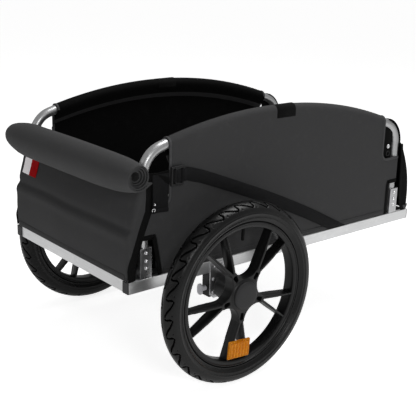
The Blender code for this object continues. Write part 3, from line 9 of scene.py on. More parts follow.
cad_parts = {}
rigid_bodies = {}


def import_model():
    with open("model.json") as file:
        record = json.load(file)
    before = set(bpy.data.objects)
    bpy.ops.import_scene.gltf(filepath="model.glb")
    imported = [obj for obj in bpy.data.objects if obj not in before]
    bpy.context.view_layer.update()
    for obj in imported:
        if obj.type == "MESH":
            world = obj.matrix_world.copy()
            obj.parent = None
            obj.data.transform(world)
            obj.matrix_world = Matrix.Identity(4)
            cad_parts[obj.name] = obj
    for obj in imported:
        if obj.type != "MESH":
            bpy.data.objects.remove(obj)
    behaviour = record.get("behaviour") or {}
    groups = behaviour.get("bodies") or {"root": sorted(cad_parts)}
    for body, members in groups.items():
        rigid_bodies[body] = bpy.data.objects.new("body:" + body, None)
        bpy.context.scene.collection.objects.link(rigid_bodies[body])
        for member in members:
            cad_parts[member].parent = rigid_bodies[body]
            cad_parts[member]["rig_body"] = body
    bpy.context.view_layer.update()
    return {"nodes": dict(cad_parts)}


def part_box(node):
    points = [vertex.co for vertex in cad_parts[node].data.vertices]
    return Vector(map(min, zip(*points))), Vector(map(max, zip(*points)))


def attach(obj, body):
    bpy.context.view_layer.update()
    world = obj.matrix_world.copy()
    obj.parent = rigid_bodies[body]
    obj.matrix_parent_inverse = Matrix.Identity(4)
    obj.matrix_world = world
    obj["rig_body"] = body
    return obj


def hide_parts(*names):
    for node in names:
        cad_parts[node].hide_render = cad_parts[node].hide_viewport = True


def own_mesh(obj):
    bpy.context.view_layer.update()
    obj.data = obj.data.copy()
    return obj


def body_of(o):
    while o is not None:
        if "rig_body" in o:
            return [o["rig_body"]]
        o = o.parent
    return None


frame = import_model()
cadNodes = frame["nodes"]
sides = (("right", -1), ("left", 1))
outward = {-1: math.pi / 2, 1: -math.pi / 2}   # turn about X that points a wheel's face away from the bed
print("frame loaded:", len(cadNodes), "solids")


# everyday helpers
def deselectAll():
    if bpy.context.object and bpy.context.object.mode != "OBJECT":
        bpy.ops.object.mode_set(mode="OBJECT")
    bpy.ops.object.select_all(action="DESELECT")


def pick(*objects):
    deselectAll()
    for obj in objects:
        obj.select_set(True)
    bpy.context.view_layer.objects.active = objects[0]


def linked(name, data):
    obj = bpy.data.objects.new(name, data)
    bpy.context.scene.collection.objects.link(obj)
    return obj


def primitive(kind, name, **settings):
    deselectAll()
    getattr(bpy.ops.mesh, "primitive_" + kind + "_add")(**settings)
    obj = bpy.context.object
    obj.name = obj.data.name = name
    return obj


def settle(obj):
    pick(obj)
    bpy.ops.object.transform_apply(location=True, rotation=True, scale=True)
    return obj


def block(name, low, high):   # a cube primitive between two corners
    low, high = Vector(low), Vector(high)
    obj = primitive("cube", name, size=1, location=(low + high) / 2)
    obj.scale = high - low
    return settle(obj)


def doneEditing(obj):
    bpy.ops.object.mode_set(mode="OBJECT")
    return obj


def editAll(obj):
    pick(obj)
    bpy.ops.object.mode_set(mode="EDIT")
    bpy.ops.mesh.select_all(action="SELECT")


def facedOutwards(obj):
    editAll(obj)
    bpy.ops.mesh.normals_make_consistent(inside=False)
    return doneEditing(obj)


def applied(obj, kind, **settings):
    pick(obj)
    modifier = obj.modifiers.new(kind.title(), kind)
    for name, value in settings.items():
        setattr(modifier, name, value)
    bpy.ops.object.modifier_apply(modifier=modifier.name)
    return obj


def rounded(obj, width, segments=2, angle=38):
    return applied(obj, "BEVEL", width=width, segments=segments, limit_method="ANGLE",
                   angle_limit=math.radians(angle), use_clamp_overlap=True)


def cut(obj, tool):
    applied(obj, "BOOLEAN", operation="DIFFERENCE", solver="EXACT", object=tool)
    bpy.data.objects.remove(tool, do_unlink=True)
    return obj


def shade(obj, angle=35):
    pick(obj)
    bpy.ops.object.shade_smooth_by_angle(angle=math.radians(angle))
    return obj


def merged(name, objects):
    pick(*objects)
    if len(objects) > 1:
        bpy.ops.object.join()
    obj = objects[0]
    obj.name = obj.data.name = name
    return obj


def copyOf(obj, name, matrix):
    made = obj.copy()
    made.data = obj.data.copy()
    made.name = made.data.name = name
    bpy.context.scene.collection.objects.link(made)
    made.data.transform(matrix)
    return made


def turnedAbout(name, profile, steps, closed=False):
    # profile of (radius, height), spun about Z; its ends may lie on the axis
    mesh = bpy.data.meshes.new(name)
    edges = [(i, i + 1) for i in range(len(profile) - 1)]
    if closed:
        edges.append((len(profile) - 1, 0))
    mesh.from_pydata([(radius, 0, height) for radius, height in profile], edges, [])
    obj = linked(name, mesh)
    editAll(obj)
    bpy.ops.mesh.spin(steps=steps, angle=2 * math.pi, center=(0, 0, 0), axis=(0, 0, 1))
    bpy.ops.mesh.select_all(action="SELECT")
    bpy.ops.mesh.remove_doubles(threshold=0.00002)
    bpy.ops.mesh.normals_make_consistent(inside=False)
    return doneEditing(obj)


def curvedThrough(points, spacing):
    # a smooth line through the points, with about the given spacing
    line = []
    for i in range(len(points) - 1):
        a, b, c, d = (Vector(points[max(0, min(len(points) - 1, i + k))]) for k in (-1, 0, 1, 2))
        count = max(1, round((c - b).length / spacing))
        for k in range(count):
            t = k / count
            line.append(0.5 * ((2 * b) + (c - a) * t + (2 * a - 5 * b + 4 * c - d) * t ** 2
                               + (3 * b - a - 3 * c + d) * t ** 3))
    line.append(Vector(points[-1]))
    return line


def running(points):
    # distances along a row or column, carried on over missing points
    total, out, last = 0.0, [], None
    for p in points:
        if p is not None:
            if last is not None:
                total += (Vector(p) - last).length
            last = Vector(p)
        out.append(total)
    return out


def evenly(path, spacing):
    # points at equal distances along a path, with the direction there
    path = [Vector(p) for p in path]
    lengths = running(path)
    count = max(1, int(lengths[-1] / spacing))
    spots = []
    for k in range(count):
        at = (k + 0.5) * lengths[-1] / count
        i = max(j for j in range(len(path) - 1) if lengths[j] <= at)
        share = (at - lengths[i]) / max(lengths[i + 1] - lengths[i], 1e-9)
        spots.append((path[i].lerp(path[i + 1], share), (path[i + 1] - path[i]).normalized()))
    return spots


def heightsBetween(low, high, spacing, extra=()):
    count = round((high - low) / spacing)
    return sorted(set([low + (high - low) * i / count for i in range(count + 1)] + list(extra)))


def alongLine(points, z):   # the other value where a line of (value, other) points passes z
    for (z0, x0), (z1, x1) in zip(points, points[1:]):
        if z <= z1:
            return x0 + (x1 - x0) * max(0.0, z - z0) / (z1 - z0)
    return points[-1][1]


def skin(name, vertices, faces, uvs=None):
    mesh = bpy.data.meshes.new(name)
    mesh.from_pydata([tuple(v) for v in vertices], [], faces)
    if uvs:
        layer = mesh.uv_layers.new(name="cloth")
        for loop in mesh.loops:
            layer.data[loop.index].uv = uvs[loop.vertex_index]
    return linked(name, mesh)


def tape(name, path, face, width, thickness, lift=0.0):
    # a flat band along a path; face is the way it looks, one vector or one for each point
    path = [Vector(p) for p in path]
    faces = face if isinstance(face, list) else [Vector(face)] * len(path)
    edge = 0.35 * thickness
    half = width / 2
    section = [(-half + edge, 0), (half - edge, 0), (half, 0.3), (half, 0.7), (half - edge, 1),
               (-half + edge, 1), (-half, 0.7), (-half, 0.3)]
    vertices, uvs = [], []
    along = 0.0
    for i, spot in enumerate(path):
        before, after = path[max(i - 1, 0)], path[min(i + 1, len(path) - 1)]
        if i:
            along += (spot - path[i - 1]).length
        direction = (after - before).normalized()
        across = direction.cross(faces[i]).normalized()
        up = across.cross(direction).normalized()
        for v, h in section:
            vertices.append(spot + across * v + up * (lift + h * thickness))
            uvs.append((along, v))
    ring = len(section)
    quads = []
    for i in range(len(path) - 1):
        for k in range(ring):
            a, b = i * ring + k, i * ring + (k + 1) % ring
            quads.append((a, b, b + ring, a + ring))
    last = (len(path) - 1) * ring
    quads += [tuple(range(ring))[::-1], tuple(last + k for k in range(ring))]
    return shade(facedOutwards(skin(name, vertices, quads, uvs)), 50)


def stitches(name, rows, pitch=0.0042, length=0.0030, radius=0.00034, around=5):
    # short arched threads along each (path, face) row
    rings = ((-0.5, 0.35, -0.4), (-0.36, 1.0, 0.5), (0.0, 1.0, 1.0), (0.36, 1.0, 0.5), (0.5, 0.35, -0.4))
    vertices, quads = [], []
    for path, face in rows:
        for spot, direction in evenly(path, pitch):
            across = direction.cross(Vector(face)).normalized()
            up = across.cross(direction).normalized()
            first = len(vertices)
            for along, girth, rise in rings:
                for k in range(around):
                    a = 2 * math.pi * k / around
                    point = spot + direction * along * length + up * (rise + girth * math.sin(a)) * radius
                    vertices.append(point + across * girth * math.cos(a) * radius)
            for i in range(len(rings) - 1):
                for k in range(around):
                    a, b = first + i * around + k, first + i * around + (k + 1) % around
                    quads.append((a, a + around, b + around, b))
            last = first + (len(rings) - 1) * around
            quads += [tuple(range(first, first + around)), tuple(range(last, last + around))[::-1]]
    return shade(facedOutwards(skin(name, vertices, quads)), 60)


# shader pieces that several finishes share
def calc(tree, operation, *values):
    made = tree.nodes.new("ShaderNodeMath")
    made.operation = operation
    for socket, value in zip(made.inputs, values):
        if isinstance(value, (int, float)):
            socket.default_value = value
        else:
            tree.links.new(value, socket)
    return made.outputs[0]


def spreadOut(tree, value, low, high, newLow, newHigh):
    made = tree.nodes.new("ShaderNodeMapRange")
    tree.links.new(value, made.inputs["Value"])
    for name, number in (("From Min", low), ("From Max", high), ("To Min", newLow), ("To Max", newHigh)):
        if isinstance(number, (int, float)):
            made.inputs[name].default_value = number
        else:
            tree.links.new(number, made.inputs[name])
    return made.outputs["Result"]


def clouds(tree, vector, scale, detail):
    made = tree.nodes.new("ShaderNodeTexNoise")
    made.inputs["Detail"].default_value = detail
    tree.links.new(vector, made.inputs["Vector"])
    if isinstance(scale, (int, float)):
        made.inputs["Scale"].default_value = scale
    else:
        tree.links.new(scale, made.inputs["Scale"])
    return made.outputs["Fac"]


def blended(tree, factor, first, second):
    made = tree.nodes.new("ShaderNodeMix")
    made.data_type = "RGBA"
    tree.links.new(factor, made.inputs[0])
    for socket, colour in ((made.inputs[6], first), (made.inputs[7], second)):
        if isinstance(colour, tuple):
            socket.default_value = (*colour, 1)
        else:
            tree.links.new(colour, socket)
    return made.outputs[2]


def shaderGroup(name, numbers, build):
    # a group with a vector and some numbers in, and a height and a mask out
    made = bpy.data.node_groups.new(name, "ShaderNodeTree")
    made.interface.new_socket(name="Vector", in_out="INPUT", socket_type="NodeSocketVector")
    for label, value in numbers:
        socket = made.interface.new_socket(name=label, in_out="INPUT", socket_type="NodeSocketFloat")
        socket.default_value = value
    for label in ("Height", "Mask"):
        made.interface.new_socket(name=label, in_out="OUTPUT", socket_type="NodeSocketFloat")
    start = made.nodes.new("NodeGroupInput")
    end = made.nodes.new("NodeGroupOutput")
    height, mask = build(made, start.outputs)
    made.links.new(height, end.inputs["Height"])
    made.links.new(mask, end.inputs["Mask"])
    return made


def splitVector(tree, vector):
    made = tree.nodes.new("ShaderNodeSeparateXYZ")
    tree.links.new(vector, made.inputs[0])
    return made.outputs


def weave(tree, given):   # over and under threads, a pitch apart
    x, y, _ = splitVector(tree, given["Vector"])
    turn = calc(tree, "DIVIDE", math.pi, given["Pitch"])
    a = calc(tree, "SINE", calc(tree, "MULTIPLY", x, turn))
    b = calc(tree, "SINE", calc(tree, "MULTIPLY", y, turn))
    over = calc(tree, "GREATER_THAN", calc(tree, "MULTIPLY", a, b), 0.0)
    high = calc(tree, "ABSOLUTE", a)
    low = calc(tree, "ABSOLUTE", b)
    other = calc(tree, "SUBTRACT", 1.0, over)
    height = calc(tree, "ADD", calc(tree, "MULTIPLY", high, over), calc(tree, "MULTIPLY", low, other))
    return height, spreadOut(tree, height, 0.0, 0.6, 0.0, 1.0)


def webbingRibs(tree, given):   # slanted ribs that meet in a herringbone along the band
    lane = 0.0032
    x, y, _ = splitVector(tree, given["Vector"])
    zigzag = calc(tree, "PINGPONG", y, lane)
    turn = calc(tree, "DIVIDE", math.pi, given["Pitch"])
    wave = calc(tree, "SINE", calc(tree, "MULTIPLY", calc(tree, "ADD", x, zigzag), turn))
    lanes = calc(tree, "ABSOLUTE", calc(tree, "SINE", calc(tree, "MULTIPLY", y, math.pi / lane)))
    lanes = spreadOut(tree, lanes, 0.0, 0.35, 0.3, 1.0)
    height = calc(tree, "MULTIPLY", calc(tree, "ABSOLUTE", wave), lanes)
    return height, spreadOut(tree, height, 0.0, 0.5, 0.0, 1.0)


def drawnGrain(tree, given):   # fine lines left by extrusion and brushing
    fine = clouds(tree, given["Vector"], calc(tree, "DIVIDE", 1.0, given["Pitch"]), 4.0)
    return fine, spreadOut(tree, fine, 0.35, 0.68, 0.0, 1.0)


def mouldGrain(tree, given):   # spark-eroded pebble of moulded plastic and rubber
    cells = tree.nodes.new("ShaderNodeTexVoronoi")
    tree.links.new(given["Vector"], cells.inputs["Vector"])
    tree.links.new(calc(tree, "DIVIDE", 1.0, given["Pitch"]), cells.inputs["Scale"])
    fine = clouds(tree, given["Vector"], calc(tree, "DIVIDE", 0.4, given["Pitch"]), 2.0)
    height = calc(tree, "ADD", cells.outputs["Distance"], calc(tree, "MULTIPLY", fine, 0.6))
    return height, spreadOut(tree, fine, 0.3, 0.7, 0.0, 1.0)


def honeycomb(tree, given):   # sealed cells of reflective tape
    cells = tree.nodes.new("ShaderNodeTexVoronoi")
    cells.feature = "DISTANCE_TO_EDGE"
    cells.inputs["Randomness"].default_value = 0.25
    tree.links.new(given["Vector"], cells.inputs["Vector"])
    tree.links.new(calc(tree, "DIVIDE", 1.0, given["Pitch"]), cells.inputs["Scale"])
    height = spreadOut(tree, cells.outputs["Distance"], 0.0, 0.12, 0.0, 1.0)
    return height, height


surfaces = {name: shaderGroup(name, [("Pitch", 0.001)], build) for name, build in
            (("weave", weave), ("webbingRibs", webbingRibs), ("drawnGrain", drawnGrain),
             ("mouldGrain", mouldGrain), ("honeycomb", honeycomb))}


def wornPatches(tree, given):   # broad dust and handling, and fine scuffs
    broad = clouds(tree, given["Vector"], given["Broad"], 3.0)
    scuffs = clouds(tree, given["Vector"], calc(tree, "MULTIPLY", given["Broad"], 11.0), 5.0)
    marks = spreadOut(tree, scuffs, 0.56, 0.72, 0.0, 1.0)
    return spreadOut(tree, broad, 0.32, 0.68, 0.0, 1.0), marks


wear = shaderGroup("wornPatches", [("Broad", 6.0)], wornPatches)

# what finishes of one kind share: surface, depth of its bump, specular level, sheen, coordinates
woven = {"surface": "weave", "distance": 0.0003, "specular": 0.1, "sheen": 0.02}
ribbed = {"surface": "webbingRibs", "distance": 0.0003, "specular": 0.05}
drawn = {"surface": "drawnGrain", "distance": 0.0002, "coords": "Object"}
moulded = {"surface": "mouldGrain", "distance": 0.0003, "specular": 0.22, "coords": "Object"}
finishes = {
    # colour, deeper colour for gaps and shade, roughness low and high, pitch and bump of the surface
    "panelCloth": {**woven, "colour": (0.056, 0.056, 0.057), "deep": (0.033, 0.033, 0.034),
                   "rough": (0.62, 0.80), "pitch": 0.00055, "bump": 0.30},
    # the roll's cloth is the panel's cloth painted lighter: painted light on the roll
    "litRollCloth": {**woven, "colour": (0.074, 0.074, 0.075), "deep": (0.042, 0.042, 0.043),
                  "rough": (0.62, 0.80), "pitch": 0.00055, "bump": 0.30},
    "blackCloth": {**woven, "colour": (0.0045, 0.0045, 0.0045), "deep": (0.002, 0.002, 0.002),
                   "rough": (0.55, 0.75), "pitch": 0.0006, "bump": 0.35, "specular": 0.03},
    "floorCloth": {**woven, "colour": (0.030, 0.030, 0.031), "deep": (0.013, 0.013, 0.014),
                   "rough": (0.65, 0.85), "pitch": 0.0009, "bump": 0.5, "distance": 0.0004, "sheen": 0.0,
                   "coords": "Object"},
    "blackWebbing": {**ribbed, "colour": (0.014, 0.014, 0.015), "deep": (0.004, 0.004, 0.004),
                     "rough": (0.50, 0.72), "pitch": 0.0011, "bump": 0.7, "distance": 0.0004},
    "bindingTape": {**ribbed, "colour": (0.006, 0.006, 0.006), "deep": (0.002, 0.002, 0.002),
                    "rough": (0.55, 0.75), "pitch": 0.0009, "bump": 0.6},
    "greyPiping": {**ribbed, "colour": (0.080, 0.080, 0.082), "deep": (0.040, 0.040, 0.042),
                   "rough": (0.45, 0.62), "pitch": 0.0008, "bump": 0.5, "specular": 0.12},
    "thread": {**drawn, "colour": (0.070, 0.070, 0.072), "deep": (0.030, 0.030, 0.030),
               "rough": (0.45, 0.60), "pitch": 0.0004, "bump": 0.4, "distance": 0.0001, "specular": 0.3},
    "anodisedX": {**drawn, "colour": (0.79, 0.793, 0.798), "deep": (0.65, 0.653, 0.658),
                  "rough": (0.30, 0.44), "pitch": 0.0011, "bump": 0.12, "metallic": 0.92,
                  "stretch": (0.02, 1, 1)},
    "anodisedY": {**drawn, "colour": (0.79, 0.793, 0.798), "deep": (0.65, 0.653, 0.658),
                  "rough": (0.30, 0.44), "pitch": 0.0011, "bump": 0.12, "metallic": 0.92,
                  "stretch": (1, 0.02, 1)},
    "frameTube": {**drawn, "colour": (0.50, 0.502, 0.505), "deep": (0.40, 0.402, 0.405),
                  "rough": (0.26, 0.40), "pitch": 0.0012, "bump": 0.10, "metallic": 0.92},
    "platedSteel": {**drawn, "colour": (0.62, 0.62, 0.63), "deep": (0.40, 0.40, 0.41),
                    "rough": (0.24, 0.42), "pitch": 0.0022, "bump": 0.25, "distance": 0.0003,
                    "metallic": 1.0},
    "brightSteel": {**drawn, "colour": (0.90, 0.90, 0.91), "deep": (0.72, 0.72, 0.73),
                    "rough": (0.12, 0.26), "pitch": 0.0015, "bump": 0.12, "metallic": 1.0},
    "wheelNylon": {**moulded, "colour": (0.010, 0.010, 0.0104), "deep": (0.005, 0.005, 0.005),
                   "rough": (0.24, 0.36), "pitch": 0.0009, "bump": 0.16, "specular": 0.26},
    "hubNylon": {**moulded, "colour": (0.034, 0.034, 0.035), "deep": (0.022, 0.022, 0.023),
                 "rough": (0.42, 0.56), "pitch": 0.0008, "bump": 0.25},
    "blackNylon": {**moulded, "colour": (0.014, 0.014, 0.015), "deep": (0.008, 0.008, 0.008),
                   "rough": (0.28, 0.42), "pitch": 0.0007, "bump": 0.15, "distance": 0.0002},
    "greyNylon": {**moulded, "colour": (0.052, 0.052, 0.054), "deep": (0.040, 0.040, 0.042),
                  "rough": (0.42, 0.58), "pitch": 0.0008, "bump": 0.25, "distance": 0.0002,
                  "specular": 0.18},
    "paleNylon": {**moulded, "colour": (0.66, 0.66, 0.69), "deep": (0.52, 0.52, 0.56),
                  "rough": (0.28, 0.42), "pitch": 0.0009, "bump": 0.12, "distance": 0.0002, "specular": 0.5},
    "tyreRubber": {**moulded, "colour": (0.007, 0.007, 0.0072), "deep": (0.003, 0.003, 0.003),
                   "rough": (0.22, 0.34), "pitch": 0.0012, "bump": 0.30, "distance": 0.0004,
                   "specular": 0.24},
    # darker rubber for the bottoms of the tread's cuts: painted shade in the grooves
    "tyreGrooveShade": {**moulded, "colour": (0.0012, 0.0012, 0.0012), "deep": (0.0006, 0.0006, 0.0006),
                   "rough": (0.70, 0.85), "pitch": 0.0012, "bump": 0.30, "distance": 0.0004,
                   "specular": 0.02},
    "softRubber": {**moulded, "colour": (0.006, 0.006, 0.006), "deep": (0.003, 0.003, 0.003),
                   "rough": (0.50, 0.68), "pitch": 0.0010, "bump": 0.30, "specular": 0.08},
}
# dust and wear on every finish, and painted shade in the surface's gaps: scale of the patches, tone in them
# and in the gaps, and the scuffs
wearAndGapShade = {"broad": 7.0, "shade": 0.72, "gaps": 0.25, "scuffs": 0.22, "scuffGain": 1.25, "scuffLift": 0.01,
          "scuffRough": 0.06}


def makeFinish(name, has):
    made = bpy.data.materials.new(name)
    made.use_nodes = True
    tree = made.node_tree
    shader = tree.nodes["Principled BSDF"]
    shader.inputs["Metallic"].default_value = has.get("metallic", 0.0)
    shader.inputs["Sheen Weight"].default_value = has.get("sheen", 0.0)
    shader.inputs["Sheen Roughness"].default_value = 0.5
    shader.inputs["Specular IOR Level"].default_value = has.get("specular", 0.5)
    source = tree.nodes.new("ShaderNodeTexCoord")
    place = source.outputs["Object"]
    vector = source.outputs[has.get("coords", "UV")]
    if "stretch" in has:
        mapping = tree.nodes.new("ShaderNodeMapping")
        mapping.inputs["Scale"].default_value = has["stretch"]
        tree.links.new(vector, mapping.inputs["Vector"])
        vector = mapping.outputs["Vector"]
    surface = tree.nodes.new("ShaderNodeGroup")
    surface.node_tree = surfaces[has["surface"]]
    surface.inputs["Pitch"].default_value = has["pitch"]
    tree.links.new(vector, surface.inputs["Vector"])
    worn = tree.nodes.new("ShaderNodeGroup")
    worn.node_tree = wear
    worn.inputs["Broad"].default_value = has.get("broad", wearAndGapShade["broad"])
    tree.links.new(place, worn.inputs["Vector"])
    patch = spreadOut(tree, worn.outputs["Height"], 0.0, 1.0, wearAndGapShade["shade"], 1.0)
    # the surface's low parts darker: painted shade between threads and in rib grooves, grain and cell lines
    # elsewhere
    tone = spreadOut(tree, surface.outputs["Mask"], 0.0, 1.0, wearAndGapShade["gaps"], 1.0)
    colour = blended(tree, calc(tree, "MULTIPLY", tone, patch), has["deep"], has["colour"])
    scuff = tuple(min(1.0, c * wearAndGapShade["scuffGain"] + wearAndGapShade["scuffLift"]) for c in has["colour"])
    colour = blended(tree, calc(tree, "MULTIPLY", worn.outputs["Mask"], wearAndGapShade["scuffs"]), colour, scuff)
    tree.links.new(colour, shader.inputs["Base Color"])
    low, high = has["rough"]
    rough = spreadOut(tree, worn.outputs["Height"], 0.0, 1.0, low, high)
    rough = calc(tree, "ADD", rough, calc(tree, "MULTIPLY", worn.outputs["Mask"], wearAndGapShade["scuffRough"]))
    tree.links.new(rough, shader.inputs["Roughness"])
    bump = tree.nodes.new("ShaderNodeBump")
    bump.inputs["Strength"].default_value = has["bump"]
    bump.inputs["Distance"].default_value = has["distance"]
    tree.links.new(surface.outputs["Height"], bump.inputs["Height"])
    tree.links.new(bump.outputs["Normal"], shader.inputs["Normal"])
    return made


finish = {name: makeFinish(name, has) for name, has in finishes.items()}

amberLens = {"colour": (0.88, 0.34, 0.012), "deep": (0.64, 0.18, 0.002), "rough": (0.16, 0.30),
             "specular": 0.10, "surface": "drawnGrain", "pitch": 0.004, "bump": 0.1, "distance": 0.0002,
             "coords": "Object", "broad": 30.0}
lensDepth = {"Transmission Weight": 0.12, "Subsurface Weight": 0.04,
             "Subsurface Radius": (0.006, 0.002, 0.0005), "Coat Weight": 0.03, "Coat Roughness": 0.08}


def makeLens():
    made = makeFinish("amberLens", amberLens)
    for name, value in lensDepth.items():
        made.node_tree.nodes["Principled BSDF"].inputs[name].default_value = value
    return made


# the strip's look, its (y, z) corners and its stand-off from the rear panel; below redUpTo in y it is red;
# glow is a painted glow, light the tape gives off though it is no lamp
strip = {"colour": (0.98, 0.95, 0.96), "deep": (0.80, 0.76, 0.79), "rough": (0.32, 0.44), "specular": 0.02,
         "surface": "honeycomb", "pitch": 0.0042, "bump": 0.35, "distance": 0.0003,
         "red": (0.32, 0.0005, 0.002), "redUpTo": 0.1775, "glow": 0.13, "low": (0.1455, 0.388),
         "high": (0.2095, 0.440), "stand": 0.0017, "thickness": 0.0009, "edge": 0.0003, "spacing": 0.004}


def makeReflectiveTape():
    made = makeFinish("reflectiveTape", strip)
    tree = made.node_tree
    shader = tree.nodes["Principled BSDF"]
    white = shader.inputs["Base Color"].links[0].from_socket
    source = tree.nodes.new("ShaderNodeTexCoord")
    _, y, _ = splitVector(tree, source.outputs["Object"])
    tint = blended(tree, calc(tree, "LESS_THAN", y, strip["redUpTo"]), (1.0, 1.0, 1.0), strip["red"])
    mix = tree.nodes.new("ShaderNodeMix")
    mix.data_type = "RGBA"
    mix.blend_type = "MULTIPLY"
    mix.inputs[0].default_value = 1.0
    tree.links.new(white, mix.inputs[6])
    tree.links.new(tint, mix.inputs[7])
    # painted glow: the tape gives off light in its own colour, standing in for its bright reflection
    for name in ("Base Color", "Emission Color"):
        tree.links.new(mix.outputs[2], shader.inputs[name])
    shader.inputs["Emission Strength"].default_value = strip["glow"]
    return made


finish["amberLens"] = makeLens()
finish["reflectiveTape"] = makeReflectiveTape()
print("finishes:", len(finish))


def dress(obj, look, body, stands=()):
    obj.data.materials.clear()
    obj.data.materials.append(finish[look])
    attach(obj, body)
    if stands:
        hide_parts(*stands)
    return obj


def softened(node, width):
    # a welded copy of a CAD solid with its sharp edges rounded
    obj = linked(node + "_finished", cadNodes[node].data.copy())
    editAll(obj)
    bpy.ops.mesh.remove_doubles(threshold=0.00001)
    bpy.ops.mesh.dissolve_limited(angle_limit=math.radians(1.0))
    doneEditing(obj)
    rounded(obj, width)
    shade(obj, 30)
    return applied(obj, "WEIGHTED_NORMAL", mode="FACE_AREA", keep_sharp=True)


# metal and moulded pieces that keep their CAD form, with worked edges
workedEdges = {
    # node: finish, rounding, slot in the record
    "rear_rail": ("anodisedY", 0.0012, "bed_tube"),
    "front_rail": ("anodisedY", 0.0012, "bed_tube"),
    "cross_rail": ("anodisedY", 0.0012, "bed_tube"),
    "tow_pivot_bracket": ("platedSteel", 0.0006, "bracket_steel"),
    "tow_arm_tube": ("frameTube", 0.0008, "bed_tube"),
    "tow_flex_joint": ("softRubber", 0.0010, "black_plastic"),
    "tow_hitch": ("platedSteel", 0.0008, "bracket_steel"),
    "hitch_pin": ("brightSteel", 0.0005, "bright_steel"),
    "arm_clamp_knob": ("blackNylon", 0.0012, "black_plastic"),
}
for side, _ in sides:
    workedEdges["side_rail_" + side] = ("anodisedX", 0.0012, "bed_tube")
    workedEdges["axle_plate_" + side] = ("platedSteel", 0.0006, "bracket_steel")
    workedEdges["axle_receiver_" + side] = ("blackNylon", 0.0012, "black_plastic")
    workedEdges["axle_" + side] = ("brightSteel", 0.0003, "bright_steel")
    workedEdges["axle_nut_" + side] = ("platedSteel", 0.0005, "bright_steel")
    workedEdges["hub_bush_" + side] = ("brightSteel", 0.0004, "bright_steel")
    workedEdges["release_knob_" + side] = ("paleNylon", 0.0009, "pale_plastic")
    for end in ("rear", "front"):
        workedEdges["rail_plug_" + end + "_" + side] = ("greyNylon", 0.0008, "grey_plastic")
        workedEdges["bracket_" + end + "_" + side] = ("platedSteel", 0.0006, "bracket_steel")
        workedEdges["hinge_pin_" + end + "_" + side] = ("brightSteel", 0.0004, "bright_steel")
bodyOf = {name: body_of(node)[0] for name, node in cadNodes.items()}
for node, (look, width, slot) in workedEdges.items():
    dress(softened(node, width), look, bodyOf[node], [node])
for side, _ in sides:
    tube = cadNodes["inner_tube_" + side]
    for holder in tube.material_slots:
        holder.link = "OBJECT"
        holder.material = finish["softRubber"]
print("worked edges:", len(workedEdges))


# side frames, one bent tube each
frameTube = {"middle": -0.008, "half": 0.387, "top": 0.5610, "arch": 1.130, "shift": -0.042,
             "corner": 0.055, "y": 0.215, "radius": 0.011, "sides": 32,
             "feet": {"right": 0.308, "left": 0.2745}, "bendSteps": 12, "legSteps": 10, "archSteps": 48}


def archHeight(a):   # height of the arch's middle line, a metres ahead of the uprights' middle
    arch = frameTube["arch"]
    return frameTube["top"] - arch + math.sqrt(arch ** 2 - (a - frameTube["shift"]) ** 2)


def archSlope(a):
    return (frameTube["shift"] - a) / math.sqrt(frameTube["arch"] ** 2 - (a - frameTube["shift"]) ** 2)


def cornerBend(end, reach=None):   # from an upright up to the arch, at the tube's middle or further out
    corner, arch = frameTube["corner"], frameTube["arch"]
    across = frameTube["half"] - corner
    fromTop = across - end * frameTube["shift"]
    rise = math.sqrt((arch - corner) ** 2 - fromTop ** 2)
    lean = math.atan2(rise, fromTop)
    centre, radius, steps = (across, frameTube["top"] - arch + rise), reach or corner, frameTube["bendSteps"]
    turns = [lean * i / steps for i in range(steps + 1)]
    return [(end * (centre[0] + radius * math.cos(t)), centre[1] + radius * math.sin(t)) for t in turns]


def framePath(foot):
    front, rear = cornerBend(1), cornerBend(-1)
    steps = frameTube["legSteps"]
    legs = [[(a, foot + (z - foot) * i / steps) for i in range(steps)] for a, z in (front[0], rear[0])]
    start, stop, steps = front[-1][0], rear[-1][0], frameTube["archSteps"]
    spots = [start + (stop - start) * i / steps for i in range(1, steps)]
    return legs[0] + front + [(a, archHeight(a)) for a in spots] + rear[::-1] + legs[1][::-1]


def frameTubeFor(side, sign):
    path = framePath(frameTube["feet"][side])
    count, radius = frameTube["sides"], frameTube["radius"]
    vertices, faces = [], []

    def ring(a, z, tangent, sink=0.0):
        for k in range(count):
            turn = 2 * math.pi * k / count
            across, up = radius * math.cos(turn), radius * math.sin(turn)
            vertices.append((frameTube["middle"] + a - tangent[1] * up, sign * (frameTube["y"] + across),
                             z + tangent[0] * up - sink * math.sqrt(max(radius ** 2 - across ** 2, 0))))

    ring(*path[0], (0, 1), 1.0)
    for i, (a, z) in enumerate(path):
        before, after = path[max(i - 1, 0)], path[min(i + 1, len(path) - 1)]
        length = math.dist(before, after)
        ring(a, z, ((after[0] - before[0]) / length, (after[1] - before[1]) / length))
    ring(*path[-1], (0, -1), 1.0)
    rings = len(path) + 2
    for i in range(rings - 1):
        for k in range(count):
            a, b = i * count + k, i * count + (k + 1) % count
            faces.append((a, b, b + count, a + count))
    faces += [tuple(range(count)), tuple((rings - 1) * count + k for k in range(count))]
    return shade(facedOutwards(skin("frameTube_" + side, vertices, faces)), 40)


for side, sign in sides:
    dress(frameTubeFor(side, sign), "frameTube", side + "_side", ["side_frame_" + side])
print("side frames bent")


# cloth
def gridSheet(name, grid, us, vs, thickness):
    # columns of points, None where there is no cloth
    index, vertices, uvs, faces = {}, [], [], []
    for c, column in enumerate(grid):
        for r, spot in enumerate(column):
            if spot is not None:
                index[c, r] = len(vertices)
                vertices.append(spot)
                uvs.append((us[c], vs[r]))
    for c, r in index:
        if (c + 1, r) in index and (c, r + 1) in index and (c + 1, r + 1) in index:
            faces.append((index[c, r], index[c + 1, r], index[c + 1, r + 1], index[c, r + 1]))
    obj = facedOutwards(skin(name, vertices, faces, uvs))
    applied(obj, "SOLIDIFY", thickness=thickness, offset=0.0, use_even_offset=True)
    return shade(obj, 50)


